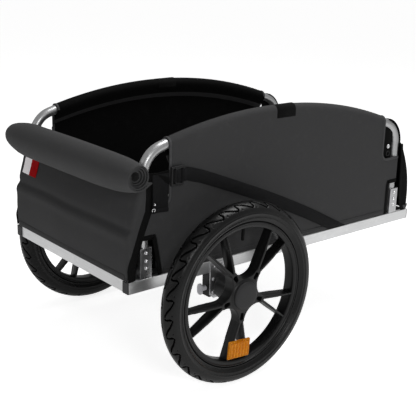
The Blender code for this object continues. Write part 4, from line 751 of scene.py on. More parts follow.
# cutout: how far from the middle each cut-out's edge leaves the hem and reaches its top
# beside: the columns between the window's edge and the upright
# clothShare: how much of the flat sheet is cloth and not opening
sidePanel = {"hem": 0.2578, "shoulder": 0.420, "windowBottom": 0.404, "windowCorner": 0.016,
             "windowEdge": 0.331, "cutoutTop": 0.338, "cutout": {-1: (0.355, 0.371), 1: (0.3632, 0.3642)},
             "y": 0.22735, "sleeve": 0.01235, "thickness": 0.0011, "seam": 0.036, "seamGap": 0.0013,
             "wrapBack": 0.014, "wrapLift": 0.0008, "wrapSteps": 12, "ripple": 0.0009, "calmEdge": 0.06,
             "calmHem": 0.05, "clothShare": 0.80, "insideShadeFrom": 0.2255,
             "rows": {"low": 24, "mid": 22, "over": 14, "back": 6}, "columns": 40,
             "beside": {-1: (0.3325, 0.335, 0.338, 0.3425, 0.347, 0.351, 0.355, 0.359, 0.363, 0.367, 0.371,
                             0.376, 0.381, 0.387),
                        1: (0.3325, 0.335, 0.338, 0.3425, 0.347, 0.351, 0.355, 0.359, 0.3632, 0.3642, 0.368,
                            0.373, 0.380, 0.387)}}


def panelLower(end, a):
    low, high = sidePanel["cutout"][end]
    rise = (a - low) / (high - low)
    return sidePanel["hem"] + (sidePanel["cutoutTop"] - sidePanel["hem"]) * min(1.0, max(0.0, rise))


def panelUpper(a):
    corner = sidePanel["windowCorner"]
    inner = sidePanel["windowEdge"] + corner - a
    if inner <= 0:
        return sidePanel["windowBottom"]
    return sidePanel["shoulder"] - math.sqrt(max(corner ** 2 - min(inner, corner) ** 2, 0))


def panelSkew(a, z, seed):   # how far the cloth stands off its flat plane
    edge, half = sidePanel["windowEdge"], frameTube["half"]
    top = archHeight(max(-edge, min(a, edge)))
    hold = min(1.0, max(0.0, (z - sidePanel["hem"]) / sidePanel["calmHem"]))
    hold *= min(1.0, max(0.0, (top - z) / sidePanel["calmEdge"]))
    hold *= min(1.0, max(0.0, (half - abs(a)) / sidePanel["calmEdge"]))
    broad = noise.noise(Vector((a * 5.0 + seed, z * 6.5, seed)))
    pulled = noise.noise(Vector((a * 16.0 + z * 9.0, (z - 0.4 * a) * 20.0, seed + 4)))
    return hold * sidePanel["ripple"] * (broad + 0.35 * pulled)


def wrapSpots():
    # round an upright from the outer side to the inner one, then a little way back: (a, y)
    radius, steps, half = sidePanel["sleeve"], sidePanel["wrapSteps"], frameTube["half"]
    turns = [math.pi * k / steps for k in range(1, steps + 1)]
    spots = [(half + radius * math.sin(turn), frameTube["y"] + radius * math.cos(turn)) for turn in turns]
    back, lift = sidePanel["wrapBack"], sidePanel["wrapLift"]
    return spots + [(half - back * k / 2, frameTube["y"] - radius + lift * k) for k in (1, 2)]


def sidePanelFor(side, sign):
    # flat cloth outside the tube, sleeved over the arch and round the uprights
    low, mid, over, back = (sidePanel["rows"][name] for name in ("low", "mid", "over", "back"))
    edge, sleeve, steps = sidePanel["windowEdge"], sidePanel["sleeve"], sidePanel["columns"]
    inner = [edge * i / steps for i in range(steps + 1)]
    wraps = wrapSpots()
    rear, front = ([(end, a, None) for a in inner + list(sidePanel["beside"][end])]
                   + [(end, frameTube["half"], spot) for spot in wraps] for end in (-1, 1))
    grid = []
    for end, a, wrap in rear[:0:-1] + front:
        column = []
        base, top = panelLower(end, a), panelUpper(a) if a > edge else sidePanel["shoulder"]
        for r in range(low + 1):
            z = base + (top - base) * r / low
            if wrap is None:
                x, y = frameTube["middle"] + end * a, sidePanel["y"] + panelSkew(end * a, z, 3.0 + sign)
            else:
                x, y = frameTube["middle"] + end * wrap[0], wrap[1]
            column.append((x, sign * y, z))
        if a <= edge:
            peak = archHeight(end * a)
            tall = sleeve * math.sqrt(1 + archSlope(end * a) ** 2)
            x = frameTube["middle"] + end * a
            for r in range(1, mid + 1):
                z = top + (peak - top) * r / mid
                column.append((x, sign * (sidePanel["y"] + panelSkew(end * a, z, 3.0 + sign)), z))
            for r in range(1, over + 1):
                turn = math.pi * r / over
                y = frameTube["y"] + sleeve * math.cos(turn)
                column.append((x, sign * y, peak + tall * math.sin(turn)))
            for r in range(1, back + 1):
                share = r / back
                y = frameTube["y"] - sleeve + (2 * sleeve - sidePanel["seamGap"]) * share ** 1.5
                column.append((x, sign * y, peak - sidePanel["seam"] * share))
        else:
            column += [None] * (mid + over + back)
        grid.append(column)
    us, vs = running([column[low // 2] for column in grid]), running(grid[len(grid) // 2])
    return gridSheet("sidePanel_" + side, grid, us, vs, sidePanel["thickness"]), (us[-1], vs[-1])


def mirrored(place, sign):   # (x, distance from the middle plane, z) put on one side
    return (place[0], sign * place[1], place[2])


def shifted(path, offset):
    return [Vector(p) + Vector(offset) for p in path]


def onSide(sign, end, a, y, z):
    return Vector((frameTube["middle"] + end * a, sign * y, z))


# window and cutout: how far the tape's middle is from the edge, its width and thickness, how far the seam is
# hem: where it starts, its length, its steps; hemPlace and hemSeam: outwards and up
panelTrim = {"window": (0.0024, 0.0062, 0.0030, 0.0088), "cutout": (0.0042, 0.0105, 0.0032, 0.0110),
             "sleeveSteps": 14, "fall": 0.012, "cornerSteps": 8, "seamStand": 0.0008, "seamShort": 16,
             "cutoutLow": 0.0005, "cutoutBend": ((-0.0006, -0.006), (-0.001, -0.0006), (0.005, 0.0)),
             "cutoutSpacing": 0.004, "cutoutStop": 0.005, "hem": (-0.343, 0.694, 60),
             "hemPlace": (0.0004, 0.0065), "hemWidth": 0.0125, "hemThickness": 0.0012,
             "hemSeam": (0.0014, 0.0045)}


def windowPath(sign, end, inset):
    # round the sleeve's end, down beside the window, round its corner, and round the upright
    path, faces = [], []
    a, sleeve, steps = sidePanel["windowEdge"] - inset, sidePanel["sleeve"], panelTrim["sleeveSteps"]
    peak = archHeight(end * a)
    tall = sleeve * math.sqrt(1 + archSlope(end * a) ** 2)
    for k in range(steps):
        turn = math.pi * (1 - k / steps)
        y = frameTube["y"] + sleeve * math.cos(turn)
        path.append(onSide(sign, end, a, y, peak + tall * math.sin(turn)))
        faces.append(Vector((0, sign * math.cos(turn), math.sin(turn))))
    fall, steps = panelTrim["fall"], panelTrim["cornerSteps"]
    flat = [(a, peak - fall * k) for k in range(int((peak - sidePanel["shoulder"]) / fall) + 1)]
    radius = sidePanel["windowCorner"] + inset
    centre = (sidePanel["windowEdge"] + sidePanel["windowCorner"], sidePanel["shoulder"])
    turns = [math.pi * k / (2 * steps) for k in range(steps + 1)]
    flat += [(centre[0] - radius * math.cos(turn), centre[1] - radius * math.sin(turn)) for turn in turns]
    flat += [(centre[0] + (frameTube["half"] - centre[0]) * k / 4, centre[1] - radius) for k in range(1, 5)]
    for b, z in flat:
        path.append(onSide(sign, end, b, sidePanel["y"], z))
        faces.append(Vector((0, sign, 0)))
    return aroundUpright(sign, end, path, faces, centre[1] - radius)


def aroundUpright(sign, end, path, faces, z):
    sleeve, steps = sidePanel["sleeve"], sidePanel["wrapSteps"]
    for k in range(1, steps + 1):
        turn = math.pi * k / steps
        path.append(onSide(sign, end, frameTube["half"] + sleeve * math.sin(turn),
                           frameTube["y"] + sleeve * math.cos(turn), z))
        faces.append(Vector((end * math.sin(turn), sign * math.cos(turn), 0)))
    return path, faces


def cutoutPath(sign, end, inset):
    low, top = sidePanel["hem"] + panelTrim["cutoutLow"], sidePanel["cutoutTop"] + inset
    start, stop = sidePanel["cutout"][end]
    starts = (stop - inset, stop, stop)
    corners = [(start - inset, low, 0)]
    corners += [(a + along, top + up, 0) for a, (along, up) in zip(starts, panelTrim["cutoutBend"])]
    flat = [(p[0], p[1]) for p in curvedThrough(corners, panelTrim["cutoutSpacing"])]
    flat += [(frameTube["half"] - panelTrim["cutoutStop"], top), (frameTube["half"], top)]
    path = [onSide(sign, end, a, sidePanel["y"], z) for a, z in flat]
    return aroundUpright(sign, end, path, [Vector((0, sign, 0))] * len(path), top)


def sidePanelEdges(side, sign):
    outside = (0, sign, 0)
    windows, cutouts, seams = [], [], []
    for end in (-1, 1):
        for kind, pathOf, tapes, skipped in (("window", windowPath, windows, panelTrim["sleeveSteps"]),
                                             ("cutout", cutoutPath, cutouts, 0)):
            inset, width, thickness, seamInset = panelTrim[kind]
            path, faces = pathOf(sign, end, inset)
            tapes.append(tape(kind + "Edge", path, faces, width, thickness, -thickness / 2))
            seam = pathOf(sign, end, seamInset)[0][skipped:-panelTrim["seamShort"]]
            seams.append((shifted(seam, (0, sign * panelTrim["seamStand"], 0)), outside))
    start, length, steps = panelTrim["hem"]
    y, z = sidePanel["y"] + panelTrim["hemPlace"][0], sidePanel["hem"] + panelTrim["hemPlace"][1]
    hem = [onSide(sign, 1, start + length * k / steps, y, z) for k in range(steps + 1)]
    turned = tape("hemFold", hem, outside, panelTrim["hemWidth"], panelTrim["hemThickness"])
    out, up = panelTrim["hemSeam"]
    seams.append((shifted(hem, (0, sign * out, up)), outside))
    body = side + "_side"
    return [dress(merged("windowBinding_" + side, windows), "greyPiping", body),
            dress(merged("cutoutBinding_" + side, cutouts), "bindingTape", body),
            dress(merged("panelHem_" + side, [turned]), "panelCloth", body),
            dress(stitches("panelStitches_" + side, seams), "thread", body)]


for side, sign in sides:
    panel, flat = sidePanelFor(side, sign)
    dress(panel, "panelCloth", side + "_side", ["side_panel_" + side])
    panel.data.materials.append(finish["blackCloth"])
    for face in panel.data.polygons:   # the inner face and the sleeve's inner half in black cloth: painted shade of the inside of the bed
        away = abs(face.center.y)
        if away < frameTube["y"] or (sign * face.normal.y < -0.3 and away > sidePanel["insideShadeFrom"]):
            face.material_index = 1
    trims = sidePanelEdges(side, sign)
    print("side panel", side, "flat", [round(v, 3) for v in flat])


# webbing on the side panels; places are (x, distance from the middle plane, z)
strap = {"points": ((-0.300, 0.4612), (-0.255, 0.4476), (-0.1515, 0.4070), (-0.040, 0.3602),
                    (0.080, 0.3040), (0.180, 0.2520), (0.215, 0.2330)), "width": 0.027, "thickness": 0.0016,
         "y": 0.2290, "spacing": 0.006, "stop": 0.0006,
         "end": ((-0.262, 0.2308, 0.4498), (-0.275, 0.2309, 0.4538), (-0.292, 0.2311, 0.4590),
                 (-0.3000, 0.2322, 0.4606), (-0.3060, 0.2350, 0.4606), (-0.3100, 0.2350, 0.4604),
                 (-0.3135, 0.2322, 0.4603), (-0.3165, 0.2335, 0.4602), (-0.3190, 0.2360, 0.4601),
                 (-0.3250, 0.2362, 0.4600), (-0.3285, 0.2335, 0.4600), (-0.3315, 0.2315, 0.4600)),
         "endWidth": 0.0262, "endThickness": 0.0014, "endSpacing": 0.0016}
archPatch = {"x": -0.021, "stand": 0.0003, "outerDrops": (0.0145, 0.007), "innerDrops": (0.004, 0.0085),
             "steps": 16, "width": 0.056, "thickness": 0.0008}
# corners of the buckle's parts as (x, height on the panel, z)
buckle = {"y": 0.2292, "body": ((-0.3382, 0.0, 0.4400), (-0.3064, 0.0052, 0.4800)), "bodyEdge": 0.0011,
          "slots": ((-0.3340, -0.3285), (-0.3165, -0.3110)), "slotHeights": (0.4450, 0.4750),
          "bar": ((-0.3290, 0.0015, 0.4422), (-0.3215, 0.0068, 0.4778)), "barEdge": 0.0016,
          "tooth": ((-0.3198, 0.004, 0.4470), (-0.3192, 0.0062, 0.4730)), "toothEdge": 0.0002, "teeth": 3,
          "toothPitch": 0.0011}
cornerTab = {"rear": -0.4072, "front": -0.3425, "top": 0.4752, "bottom": 0.4458, "pinch": 0.004,
             "lift": 0.002, "y": 0.2330, "ripple": 0.0009, "tuck": 0.0012, "thickness": 0.0013,
             "across": 18, "down": 8}
cornerFlap = {"rear": -0.3846, "width": 0.040, "top": 0.4700, "bottom": 0.3925, "slant": 0.0015,
              "waist": 0.0022, "drift": 0.0012, "y": 0.2332, "curl": 0.0012, "flare": 0.0022,
              "thickness": 0.0015, "across": 14, "down": 20, "hemWidth": 0.0085, "hemThickness": 0.0012,
              "hemStand": 0.0007, "hemDrop": 0.0008, "hemAllowance": 0.010}
flapRing = {"place": (-0.3822, 0.2352, 0.3990), "radius": 0.0034, "wire": 0.0008, "around": 40,
            "section": 14, "turn": 0.2}
flapSnap = {"place": (-0.3800, 0.2340, 0.4105), "radius": 0.0026}
windowSnap = {"place": (0.3480, 0.2214, 0.4330), "radius": 0.0054}
windowBand = {"place": (0.3460, 0.2200, 0.4960), "drop": 0.008, "steps": 12, "width": 0.0330,
              "thickness": 0.0015}
windowGrommet = {"place": (0.3480, 0.2222, 0.4150), "radius": 0.0058, "wire": 0.0014, "around": 36,
                 "section": 12, "turn": 0.0}
studProfile = ((0, 0.0034), (0.45, 0.0033), (0.66, 0.0027), (0.74, 0.0016), (0.80, 0.0012), (0.96, 0.0011),
               (1, 0.0006), (0.98, 0), (0, 0))   # share of the radius, height


def patchFor(sign):
    # webbing sewn over the arch
    middle, steps = archPatch["x"] - frameTube["middle"], archPatch["steps"]
    peak, radius = archHeight(middle), sidePanel["sleeve"] + archPatch["stand"]
    turns = [math.pi * k / steps for k in range(steps + 1)]
    spots = [(frameTube["y"] + radius, peak - drop) for drop in archPatch["outerDrops"]]
    spots += [(frameTube["y"] + radius * math.cos(turn), peak + radius * math.sin(turn)) for turn in turns]
    spots += [(frameTube["y"] - radius, peak - drop) for drop in archPatch["innerDrops"]]
    faces = [Vector((0, sign, 0))] * 2
    faces += [Vector((0, sign * math.cos(turn), math.sin(turn))) for turn in turns]
    faces += [Vector((0, -sign, 0))] * 2
    path = [Vector((frameTube["middle"] + middle, sign * y, z)) for y, z in spots]
    return tape("archPatch", path, faces, archPatch["width"], archPatch["thickness"])


def strapFor(side, sign):
    path = curvedThrough([(x, sign * strap["y"], z) for x, z in strap["points"]], strap["spacing"])
    long = tape("strapRun", path, (0, sign, 0), strap["width"], strap["thickness"])
    editAll(long)
    low = sidePanel["hem"] + strap["stop"]
    bpy.ops.mesh.bisect(plane_co=(0, 0, low), plane_no=(0, 0, 1), clear_inner=True, use_fill=True)
    doneEditing(long)
    # the end turned back through the buckle and sewn down
    path = curvedThrough([mirrored(place, sign) for place in strap["end"]], strap["endSpacing"])
    fold = tape("strapEnd", path, (0, sign, 0), strap["endWidth"], strap["endThickness"])
    return merged("sideStrap_" + side, [long, fold])


def buckleFor(side, sign):
    # ladder buckle: a frame with two slots and a raised bar between them
    def part(name, corners, shift=0.0):
        (left, low, bottom), (right, high, top) = corners
        near, far = sorted((sign * (buckle["y"] + low), sign * (buckle["y"] + high)))
        return block(name, (left + shift, near, bottom), (right + shift, far, top))

    body = part("buckle", buckle["body"])
    bottom, top = buckle["slotHeights"]
    for left, right in buckle["slots"]:
        cut(body, block("slot", (left, -1, bottom), (right, 1, top)))
    pieces = [rounded(body, buckle["bodyEdge"], 3)]
    pieces.append(rounded(part("bar", buckle["bar"]), buckle["barEdge"], 3))
    for k in range(buckle["teeth"]):
        tooth = part("tooth", buckle["tooth"], buckle["toothPitch"] * k)
        pieces.append(rounded(tooth, buckle["toothEdge"], 1))
    return shade(merged("strapBuckle_" + side, pieces), 30)


def stud(name, place, facing, radius):
    # domed snap on a small washer
    obj = turnedAbout(name, [(radius * share, height) for share, height in studProfile], 32)
    turn = Vector(facing).to_track_quat("Z", "Y").to_matrix().to_4x4()
    obj.data.transform(Matrix.Translation(place) @ turn)
    return shade(obj, 40)


def snap(has, sign):
    return stud("snap", mirrored(has["place"], sign), (0, sign, 0), has["radius"])


def hoop(name, has, sign):
    obj = primitive("torus", name, major_radius=has["radius"], minor_radius=has["wire"],
                    major_segments=has["around"], minor_segments=has["section"],
                    location=mirrored(has["place"], sign), rotation=(math.pi / 2, has["turn"], 0.0))
    return shade(settle(obj), 60)


def tabSpot(share, rise, sign):   # on the tab from the tube to the buckle
    has = cornerTab
    pinch = has["pinch"] * math.sin(math.pi * share)
    top, bottom = has["top"] - pinch * 0.6 + has["lift"] * (1 - share), has["bottom"] + pinch
    y = has["y"] + has["ripple"] * math.sin(7 * share + 5 * rise) - has["tuck"] * (1 - share)
    return (has["rear"] + (has["front"] - has["rear"]) * share, sign * y, bottom + (top - bottom) * rise)


def flapSpot(share, drop, sign):   # on the wide end that hangs from the tab
    has = cornerFlap
    x = has["rear"] + has["width"] * share + has["waist"] * math.sin(2.6 * drop) * (0.5 - share)
    x -= has["drift"] * drop
    curl = has["curl"] * math.sin(5.5 * share + 2.5 * drop) * drop
    curl += has["flare"] * max(0.0, 0.4 - share) * drop
    fall = has["top"] - has["bottom"] - has["slant"] * (1 - share)
    return (x, sign * (has["y"] + curl), has["top"] - fall * drop)


def flapFor(side, sign):
    made = []
    for name, has, spot in (("cornerTab", cornerTab, tabSpot), ("cornerFlap", cornerFlap, flapSpot)):
        across, down = has["across"], has["down"]
        grid = [[spot(i / across, r / down, sign) for r in range(down + 1)] for i in range(across + 1)]
        us, vs = running([column[down // 2] for column in grid]), running(grid[across // 2])
        made.append(gridSheet(name, grid, us, vs, has["thickness"]))
    tab, flap = made
    hem = shifted([column[down - 1] for column in grid], (0, sign * has["hemStand"], -has["hemDrop"]))
    edge = tape("flapHem", hem, (0, sign, 0), has["hemWidth"], has["hemThickness"])
    return tab, merged("cornerFlap_" + side, [flap, edge]), (us[-1], vs[-1] + has["hemAllowance"])


for side, sign in sides:
    body = side + "_side"
    dress(patchFor(sign), "bindingTape", body).name = "archPatch_" + side
    dress(strapFor(side, sign), "blackWebbing", body, ["side_strap_" + side])
    dress(buckleFor(side, sign), "blackNylon", body, ["strap_buckle_" + side])
    tab, flap, flat = flapFor(side, sign)
    dress(tab, "blackCloth", body).name = "cornerTab_" + side
    dress(flap, "blackWebbing", body, ["corner_flap_" + side])
    dress(hoop("flapRing_" + side, flapRing, sign), "brightSteel", body)
    snaps = [snap(flapSnap, sign)]
    # the band behind the front window fills its opening: partly the webbing tab, partly painted shade of the
    # bed's inside
    x, y, z = mirrored(windowBand["place"], sign)
    ribbon = [(x, y, z - windowBand["drop"] * k) for k in range(windowBand["steps"] + 1)]
    band = tape("windowBand_" + side, ribbon, (0, sign, 0), windowBand["width"], windowBand["thickness"])
    dress(band, "bindingTape", body)
    snaps.append(snap(windowSnap, sign))
    dress(merged("snaps_" + side, snaps), "brightSteel", body)
    dress(hoop("windowGrommet_" + side, windowGrommet, sign), "blackNylon", body)
print("webbing sewn on")


# end panels, on the bed
endPanel = {"corner": 0.010, "reach": 0.2300, "besideSteps": 16, "acrossSteps": 52, "overlap": 0.0004,
            "thickness": 0.0012, "bindingThickness": 0.0028, "hemSteps": 50}


def endCloth(name, faceX, wrapX, heights, end):
    # across the end, round both corners and a little way along each side
    corner, reach, turn, across = (endPanel[k] for k in ("corner", "reach", "besideSteps", "acrossSteps"))
    grid = []

    def besideSpot(sign, share, z):
        face = end * faceX(sign * (reach - corner), z)
        stop = min(end * wrapX(z), face - endPanel["overlap"])
        flat = max(face - corner - stop, 0.0)
        start = 0.0 if flat > 0 else math.asin(max(-1.0, min(1.0, 1 - (face - stop) / corner)))
        run = share * (flat + corner * (math.pi / 2 - start))
        if run < flat:
            return (end * (stop + run), sign * reach, z)
        angle = start + (run - flat) / corner
        y = reach - corner + corner * math.cos(angle)
        return (end * (face - corner * (1 - math.sin(angle))), sign * y, z)

    for k in range(turn):
        grid.append([besideSpot(-1, k / turn, z) for z in heights])
    for k in range(across + 1):
        y = -(reach - corner) + 2 * (reach - corner) * k / across
        grid.append([(faceX(y, z), y, z) for z in heights])
    for k in range(turn - 1, -1, -1):
        grid.append([besideSpot(1, k / turn, z) for z in heights])
    us, vs = running([column[len(heights) // 2] for column in grid]), running(grid[len(grid) // 2])
    return gridSheet(name, grid, us, vs, endPanel["thickness"]), (us[-1], vs[-1])


def acrossFace(faceX, half, z, stand=0.0):   # a level line across an end panel's face
    ys = [-half + 2 * half * k / endPanel["hemSteps"] for k in range(endPanel["hemSteps"] + 1)]
    return [(faceX(y, z) + stand, y, z) for y in ys]


def boundEdge(name, path, face, width):
    thickness = endPanel["bindingThickness"]
    return tape(name, path, face, width, thickness, -thickness / 2)


def lowered(*objects):   # gives each piece its own copy of its mesh
    for obj in objects:
        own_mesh(obj)


# ridge: height and width of the ridge; hollow: how far above it, its depth and width
# creaseRows: first height, spacing and count of the extra rows there; side: (z, x) of the panel's side edge
# hem: half its length, its height and its stand-off; bandSpan: low, high and spacing
rearPanel = {"bottom": 0.2582, "top": 0.459, "foot": -0.4378, "lean": 0.027, "curve": 2.2, "upright": 0.96,
             "sag": 0.0045, "sagTop": 0.75, "bulge": 0.006, "half": 0.2285, "calmHalf": 0.232,
             "ripple": 0.0016, "crease": 0.350, "creaseWander": 0.0035, "ridge": (0.0034, 0.012),
             "hollow": (0.015, 0.0036, 0.0075), "spacing": 0.0042, "creaseRows": (0.3455, 0.0021, 12),
             "side": ((0.2582, -0.4385), (0.285, -0.4345), (0.315, -0.4245), (0.340, -0.4155),
                      (0.360, -0.4085), (0.380, -0.4005), (0.397, -0.3935), (0.4235, -0.3912),
                      (0.459, -0.3914)), "band": 0.017, "bandSpan": (0.2590, 0.4565, 0.006),
             "bandIn": 0.0020, "bandBehind": 0.0072, "bandLine": 0.22, "hem": (0.218, 0.2650, -0.0007),
             "hemWidth": 0.0125, "hemThickness": 0.0011, "hemSeam": (-0.0012, 0, 0.0045)}


def rearFaceX(y, z):
    has = rearPanel
    share = min(1.0, max(0.0, (z - has["bottom"]) / (has["top"] - has["bottom"])))
    hump = math.sin(math.pi * share)
    x = has["foot"] + has["lean"] * min(share / has["upright"], 1.0) ** has["curve"]
    x -= has["sag"] * math.sin(math.pi * min(share / has["sagTop"], 1.0))
    x -= has["bulge"] * hump * (1 - (y / has["half"]) ** 2)
    fold = has["crease"] + has["creaseWander"] * noise.noise(Vector((y * 6, 1.0, 0)))
    depth, width = has["ridge"]
    x -= depth * math.exp(-((z - fold) / width) ** 2)
    above, depth, width = has["hollow"]
    x += depth * math.exp(-((z - fold - above) / width) ** 2)
    calm = hump * (1 - (y / has["calmHalf"]) ** 2)
    return x + has["ripple"] * calm * noise.noise(Vector((y * 8, z * 11, 7.0)))


def rearWrapX(z):
    return alongLine(rearPanel["side"], z)


start, step, count = rearPanel["creaseRows"]
creaseRows = [start + step * k for k in range(count)]
rearHeights = heightsBetween(rearPanel["bottom"], rearPanel["top"], rearPanel["spacing"], creaseRows)
rear, rearFlat = endCloth("rearPanel", rearFaceX, rearWrapX, rearHeights, -1)
dress(rear, "panelCloth", "bed", ["rear_panel"])
cornerBands = []
for _, sign in sides:
    path = []
    for z in heightsBetween(*rearPanel["bandSpan"]):
        x = rearFaceX(rearPanel["bandLine"], z) + rearPanel["bandBehind"]
        path.append((max(rearWrapX(z) + rearPanel["bandIn"], x), sign * endPanel["reach"], z))
    cornerBands.append(boundEdge("cornerBand", path, (0, sign, 0), rearPanel["band"]))
binding = dress(merged("rearPanelBinding", cornerBands), "bindingTape", "bed")
hemPath = acrossFace(rearFaceX, *rearPanel["hem"])
rearHem = tape("rearPanelHem", hemPath, (-1, 0, 0), rearPanel["hemWidth"], rearPanel["hemThickness"])
dress(rearHem, "panelCloth", "bed")
rearSeams = stitches("rearPanelStitches", [(shifted(hemPath, rearPanel["hemSeam"]), (-1, 0, 0))])
dress(rearSeams, "thread", "bed")
lowered(rear, binding, rearHem, rearSeams)
print("rear panel flat", [round(v, 3) for v in rearFlat])

frontPanel = {"bottom": 0.2578, "hem": 0.2584, "top": 0.437, "head": 0.3945, "lean": 0.0427, "curve": 2.4,
              "bulge": 0.009, "half": 0.2285, "sideShare": 0.67, "ripple": 0.0022, "spacing": 0.0055,
              "side": ((0.2578, 0.4165), (0.275, 0.4050), (0.300, 0.4000), (0.400, 0.3950),
                       (0.437, 0.3900)), "band": 0.0090, "bandSpan": (0.2600, 0.4350, 0.008),
              "bandOut": 0.0015, "topLine": (0.2195, 0.4335)}
pullTab = {"place": (0.4195, 0.2318, 0.2640), "curl": 0.0060, "rise": 0.0020, "points": 5, "width": 0.0150,
           "thickness": 0.0012}


def frontFaceX(y, z):
    has = frontPanel
    share = min(1.0, max(0.0, (z - has["bottom"]) / (has["top"] - has["bottom"])))
    x = has["head"] + has["lean"] * (1 - share ** has["curve"])
    x += has["bulge"] * math.sin(math.pi * share) * (1 - has["sideShare"] * (y / has["half"]) ** 2)
    return x + has["ripple"] * math.sin(math.pi * share) * noise.noise(Vector((y * 7, z * 9, 21.0)))


def frontWrapX(z):
    return alongLine(frontPanel["side"], z)


frontHeights = heightsBetween(frontPanel["hem"], frontPanel["top"], frontPanel["spacing"])
front, frontFlat = endCloth("frontPanel", frontFaceX, frontWrapX, frontHeights, 1)
dress(front, "blackCloth", "bed", ["front_panel"])
bands = []
for _, sign in sides:
    path = [(frontWrapX(z) + frontPanel["bandOut"], sign * endPanel["reach"], z)
            for z in heightsBetween(*frontPanel["bandSpan"])]
    bands.append(boundEdge("frontBand", path, (0, sign, 0), frontPanel["band"]))
topPath = acrossFace(frontFaceX, *frontPanel["topLine"])
bands.append(boundEdge("frontTop", topPath, (1, 0, 0), frontPanel["band"]))
frontBinding = dress(merged("frontPanelBinding", bands), "bindingTape", "bed")
tabs = []
for _, sign in sides:
    x, y, z = mirrored(pullTab["place"], sign)
    curl, rise = pullTab["curl"], pullTab["rise"]
    path = [(x + curl * math.sin(0.5 * k), y, z + rise * k) for k in range(pullTab["points"])]
    tabs.append(tape("pullTab", path, (0, sign, 0), pullTab["width"], pullTab["thickness"]))
pullTabs = dress(merged("frontPanelTabs", tabs), "greyPiping", "bed")
lowered(front, frontBinding, pullTabs)
print("front panel flat", [round(v, 3) for v in frontFlat])

# webbing over each tube's front corner, down to the front panel
cornerLoop = {"stand": 0.0118, "y": 0.2170, "endY": 0.2175, "ahead": 0.0008, "drop": 0.010, "width": 0.016,
              "thickness": 0.0011}
for side, sign in sides:
    reach = frameTube["corner"] + cornerLoop["stand"]
    path, faces = [], []
    for (a, z), (b, w) in zip(cornerBend(1, reach)[::-1], cornerBend(1)[::-1]):
        path.append(Vector((frameTube["middle"] + a, sign * cornerLoop["y"], z)))
        faces.append(Vector((a - b, 0, z - w)).normalized())
    x, z = path[-1].x + cornerLoop["ahead"], path[-1].z - cornerLoop["drop"]
    path.append(Vector((x, sign * cornerLoop["endY"], z)))
    faces.append(Vector((1, 0, 0)))
    loop = tape("cornerLoop_" + side, path, faces, cornerLoop["width"], cornerLoop["thickness"])
    dress(loop, "bindingTape", side + "_side")

# black cloth behind each bracket cut-out, with a foot on the rail: painted shade of the bed's inside; spans
# are low, high and spacing
cutoutShade = {"rear": (-0.4245, -0.3520, 0.006), "front": (0.3560, 0.4250, 0.006),
                "tall": (0.2628, 0.3440, 0.006), "y": 0.2020, "ripple": 0.0006,
                "rearFoot": (-0.3800, -0.3530, 0.004), "frontFoot": (0.3520, 0.3640, 0.004),
                "footReach": (0.2000, 0.2250, 0.005), "footZ": 0.2612, "thickness": 0.0010}
for side, sign in sides:
    for end in ("rear", "front"):
        has = cutoutShade
        xs, zs = heightsBetween(*has[end]), heightsBetween(*has["tall"])
        grid = [[(x, sign * (has["y"] + has["ripple"] * math.sin(x * 160 + z * 60)), z) for z in zs]
                for x in xs]
        xs, ys = heightsBetween(*has[end + "Foot"]), heightsBetween(*has["footReach"])
        foot = [[(x, y * sign, has["footZ"]) for y in ys] for x in xs]
        turned = gridSheet("foot", foot, running([c[0] for c in foot]), running(foot[0]), has["thickness"])
        us, vs = running([c[0] for c in grid]), running(grid[0])
        shadeSheet = merged("cutoutShade_" + end + "_" + side,
                        [gridSheet("shadeSheet", grid, us, vs, has["thickness"]), turned])
        dress(shadeSheet, "blackCloth", "bed")
        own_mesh(shadeSheet)

# bright heads of the brackets' three rivets and base screw
fasteners = {"x": {-1: -0.395, 1: 0.379}, "y": 0.2287, "heights": (0.311, 0.294, 0.279), "radius": 0.0042,
             "screw": (0.0238, 0.2150, 0.2604), "screwRadius": 0.0048}
heads = []
for side, sign in sides:
    for end, x in fasteners["x"].items():
        for z in fasteners["heights"]:
            heads.append(stud("head", (x, sign * fasteners["y"], z), (0, sign, 0), fasteners["radius"]))
        beyond, y, z = mirrored(fasteners["screw"], sign)
        heads.append(stud("head", (x + end * beyond, y, z), (0, 0, 1), fasteners["screwRadius"]))
dress(merged("fastenerHeads", heads), "brightSteel", "bed")

ys, zs = (heightsBetween(low, high, strip["spacing"]) for low, high in zip(strip["low"], strip["high"]))
grid = [[(rearFaceX(y, z) - strip["stand"], y, z) for z in zs] for y in ys]
us, vs = running([column[3] for column in grid]), running(grid[3])
reflector = gridSheet("rearReflector", grid, us, vs, strip["thickness"])
rounded(reflector, strip["edge"], 1, 60)
dress(reflector, "reflectiveTape", "bed", ["rear_reflector"])
lowered(reflector)


# the top cover, rolled up behind the rear uprights
# dome: (y, share of the radius) towards the far end; narrow: what the near end lacks, over what length
# wrinkles: their height and width at each tube; ahead: how far the near end leans ahead, over what length
# inner: the turn from which the cloth is shorter, over what part of a turn, and by how much
roll = {"x": -0.4476, "z": 0.4805, "radius": 0.0395, "pitch": 0.00612, "turns": 4.4, "near": -0.270,
        "far": 0.2280, "thickness": 0.0030, "edge": 0.0008, "perTurn": 48, "rows": 110, "startAngle": 60,
        "narrow": (0.34, 0.042), "lumps": 0.016, "wrinkles": (0.020, 0.030), "ahead": (0.007, 0.050),
        "nearStep": 0.0032, "farStep": 0.0026, "nearWander": 0.0022, "inner": (0.85, 0.25, 0.105),
        "tail": 0.0185, "tailSteps": 4,
        "dome": ((-1, 1.0), (0.125, 1.0), (0.150, 0.96), (0.1716, 0.87), (0.190, 0.77), (0.205, 0.65),
                 (0.217, 0.48), (0.2245, 0.28), (0.2285, 0.12))}


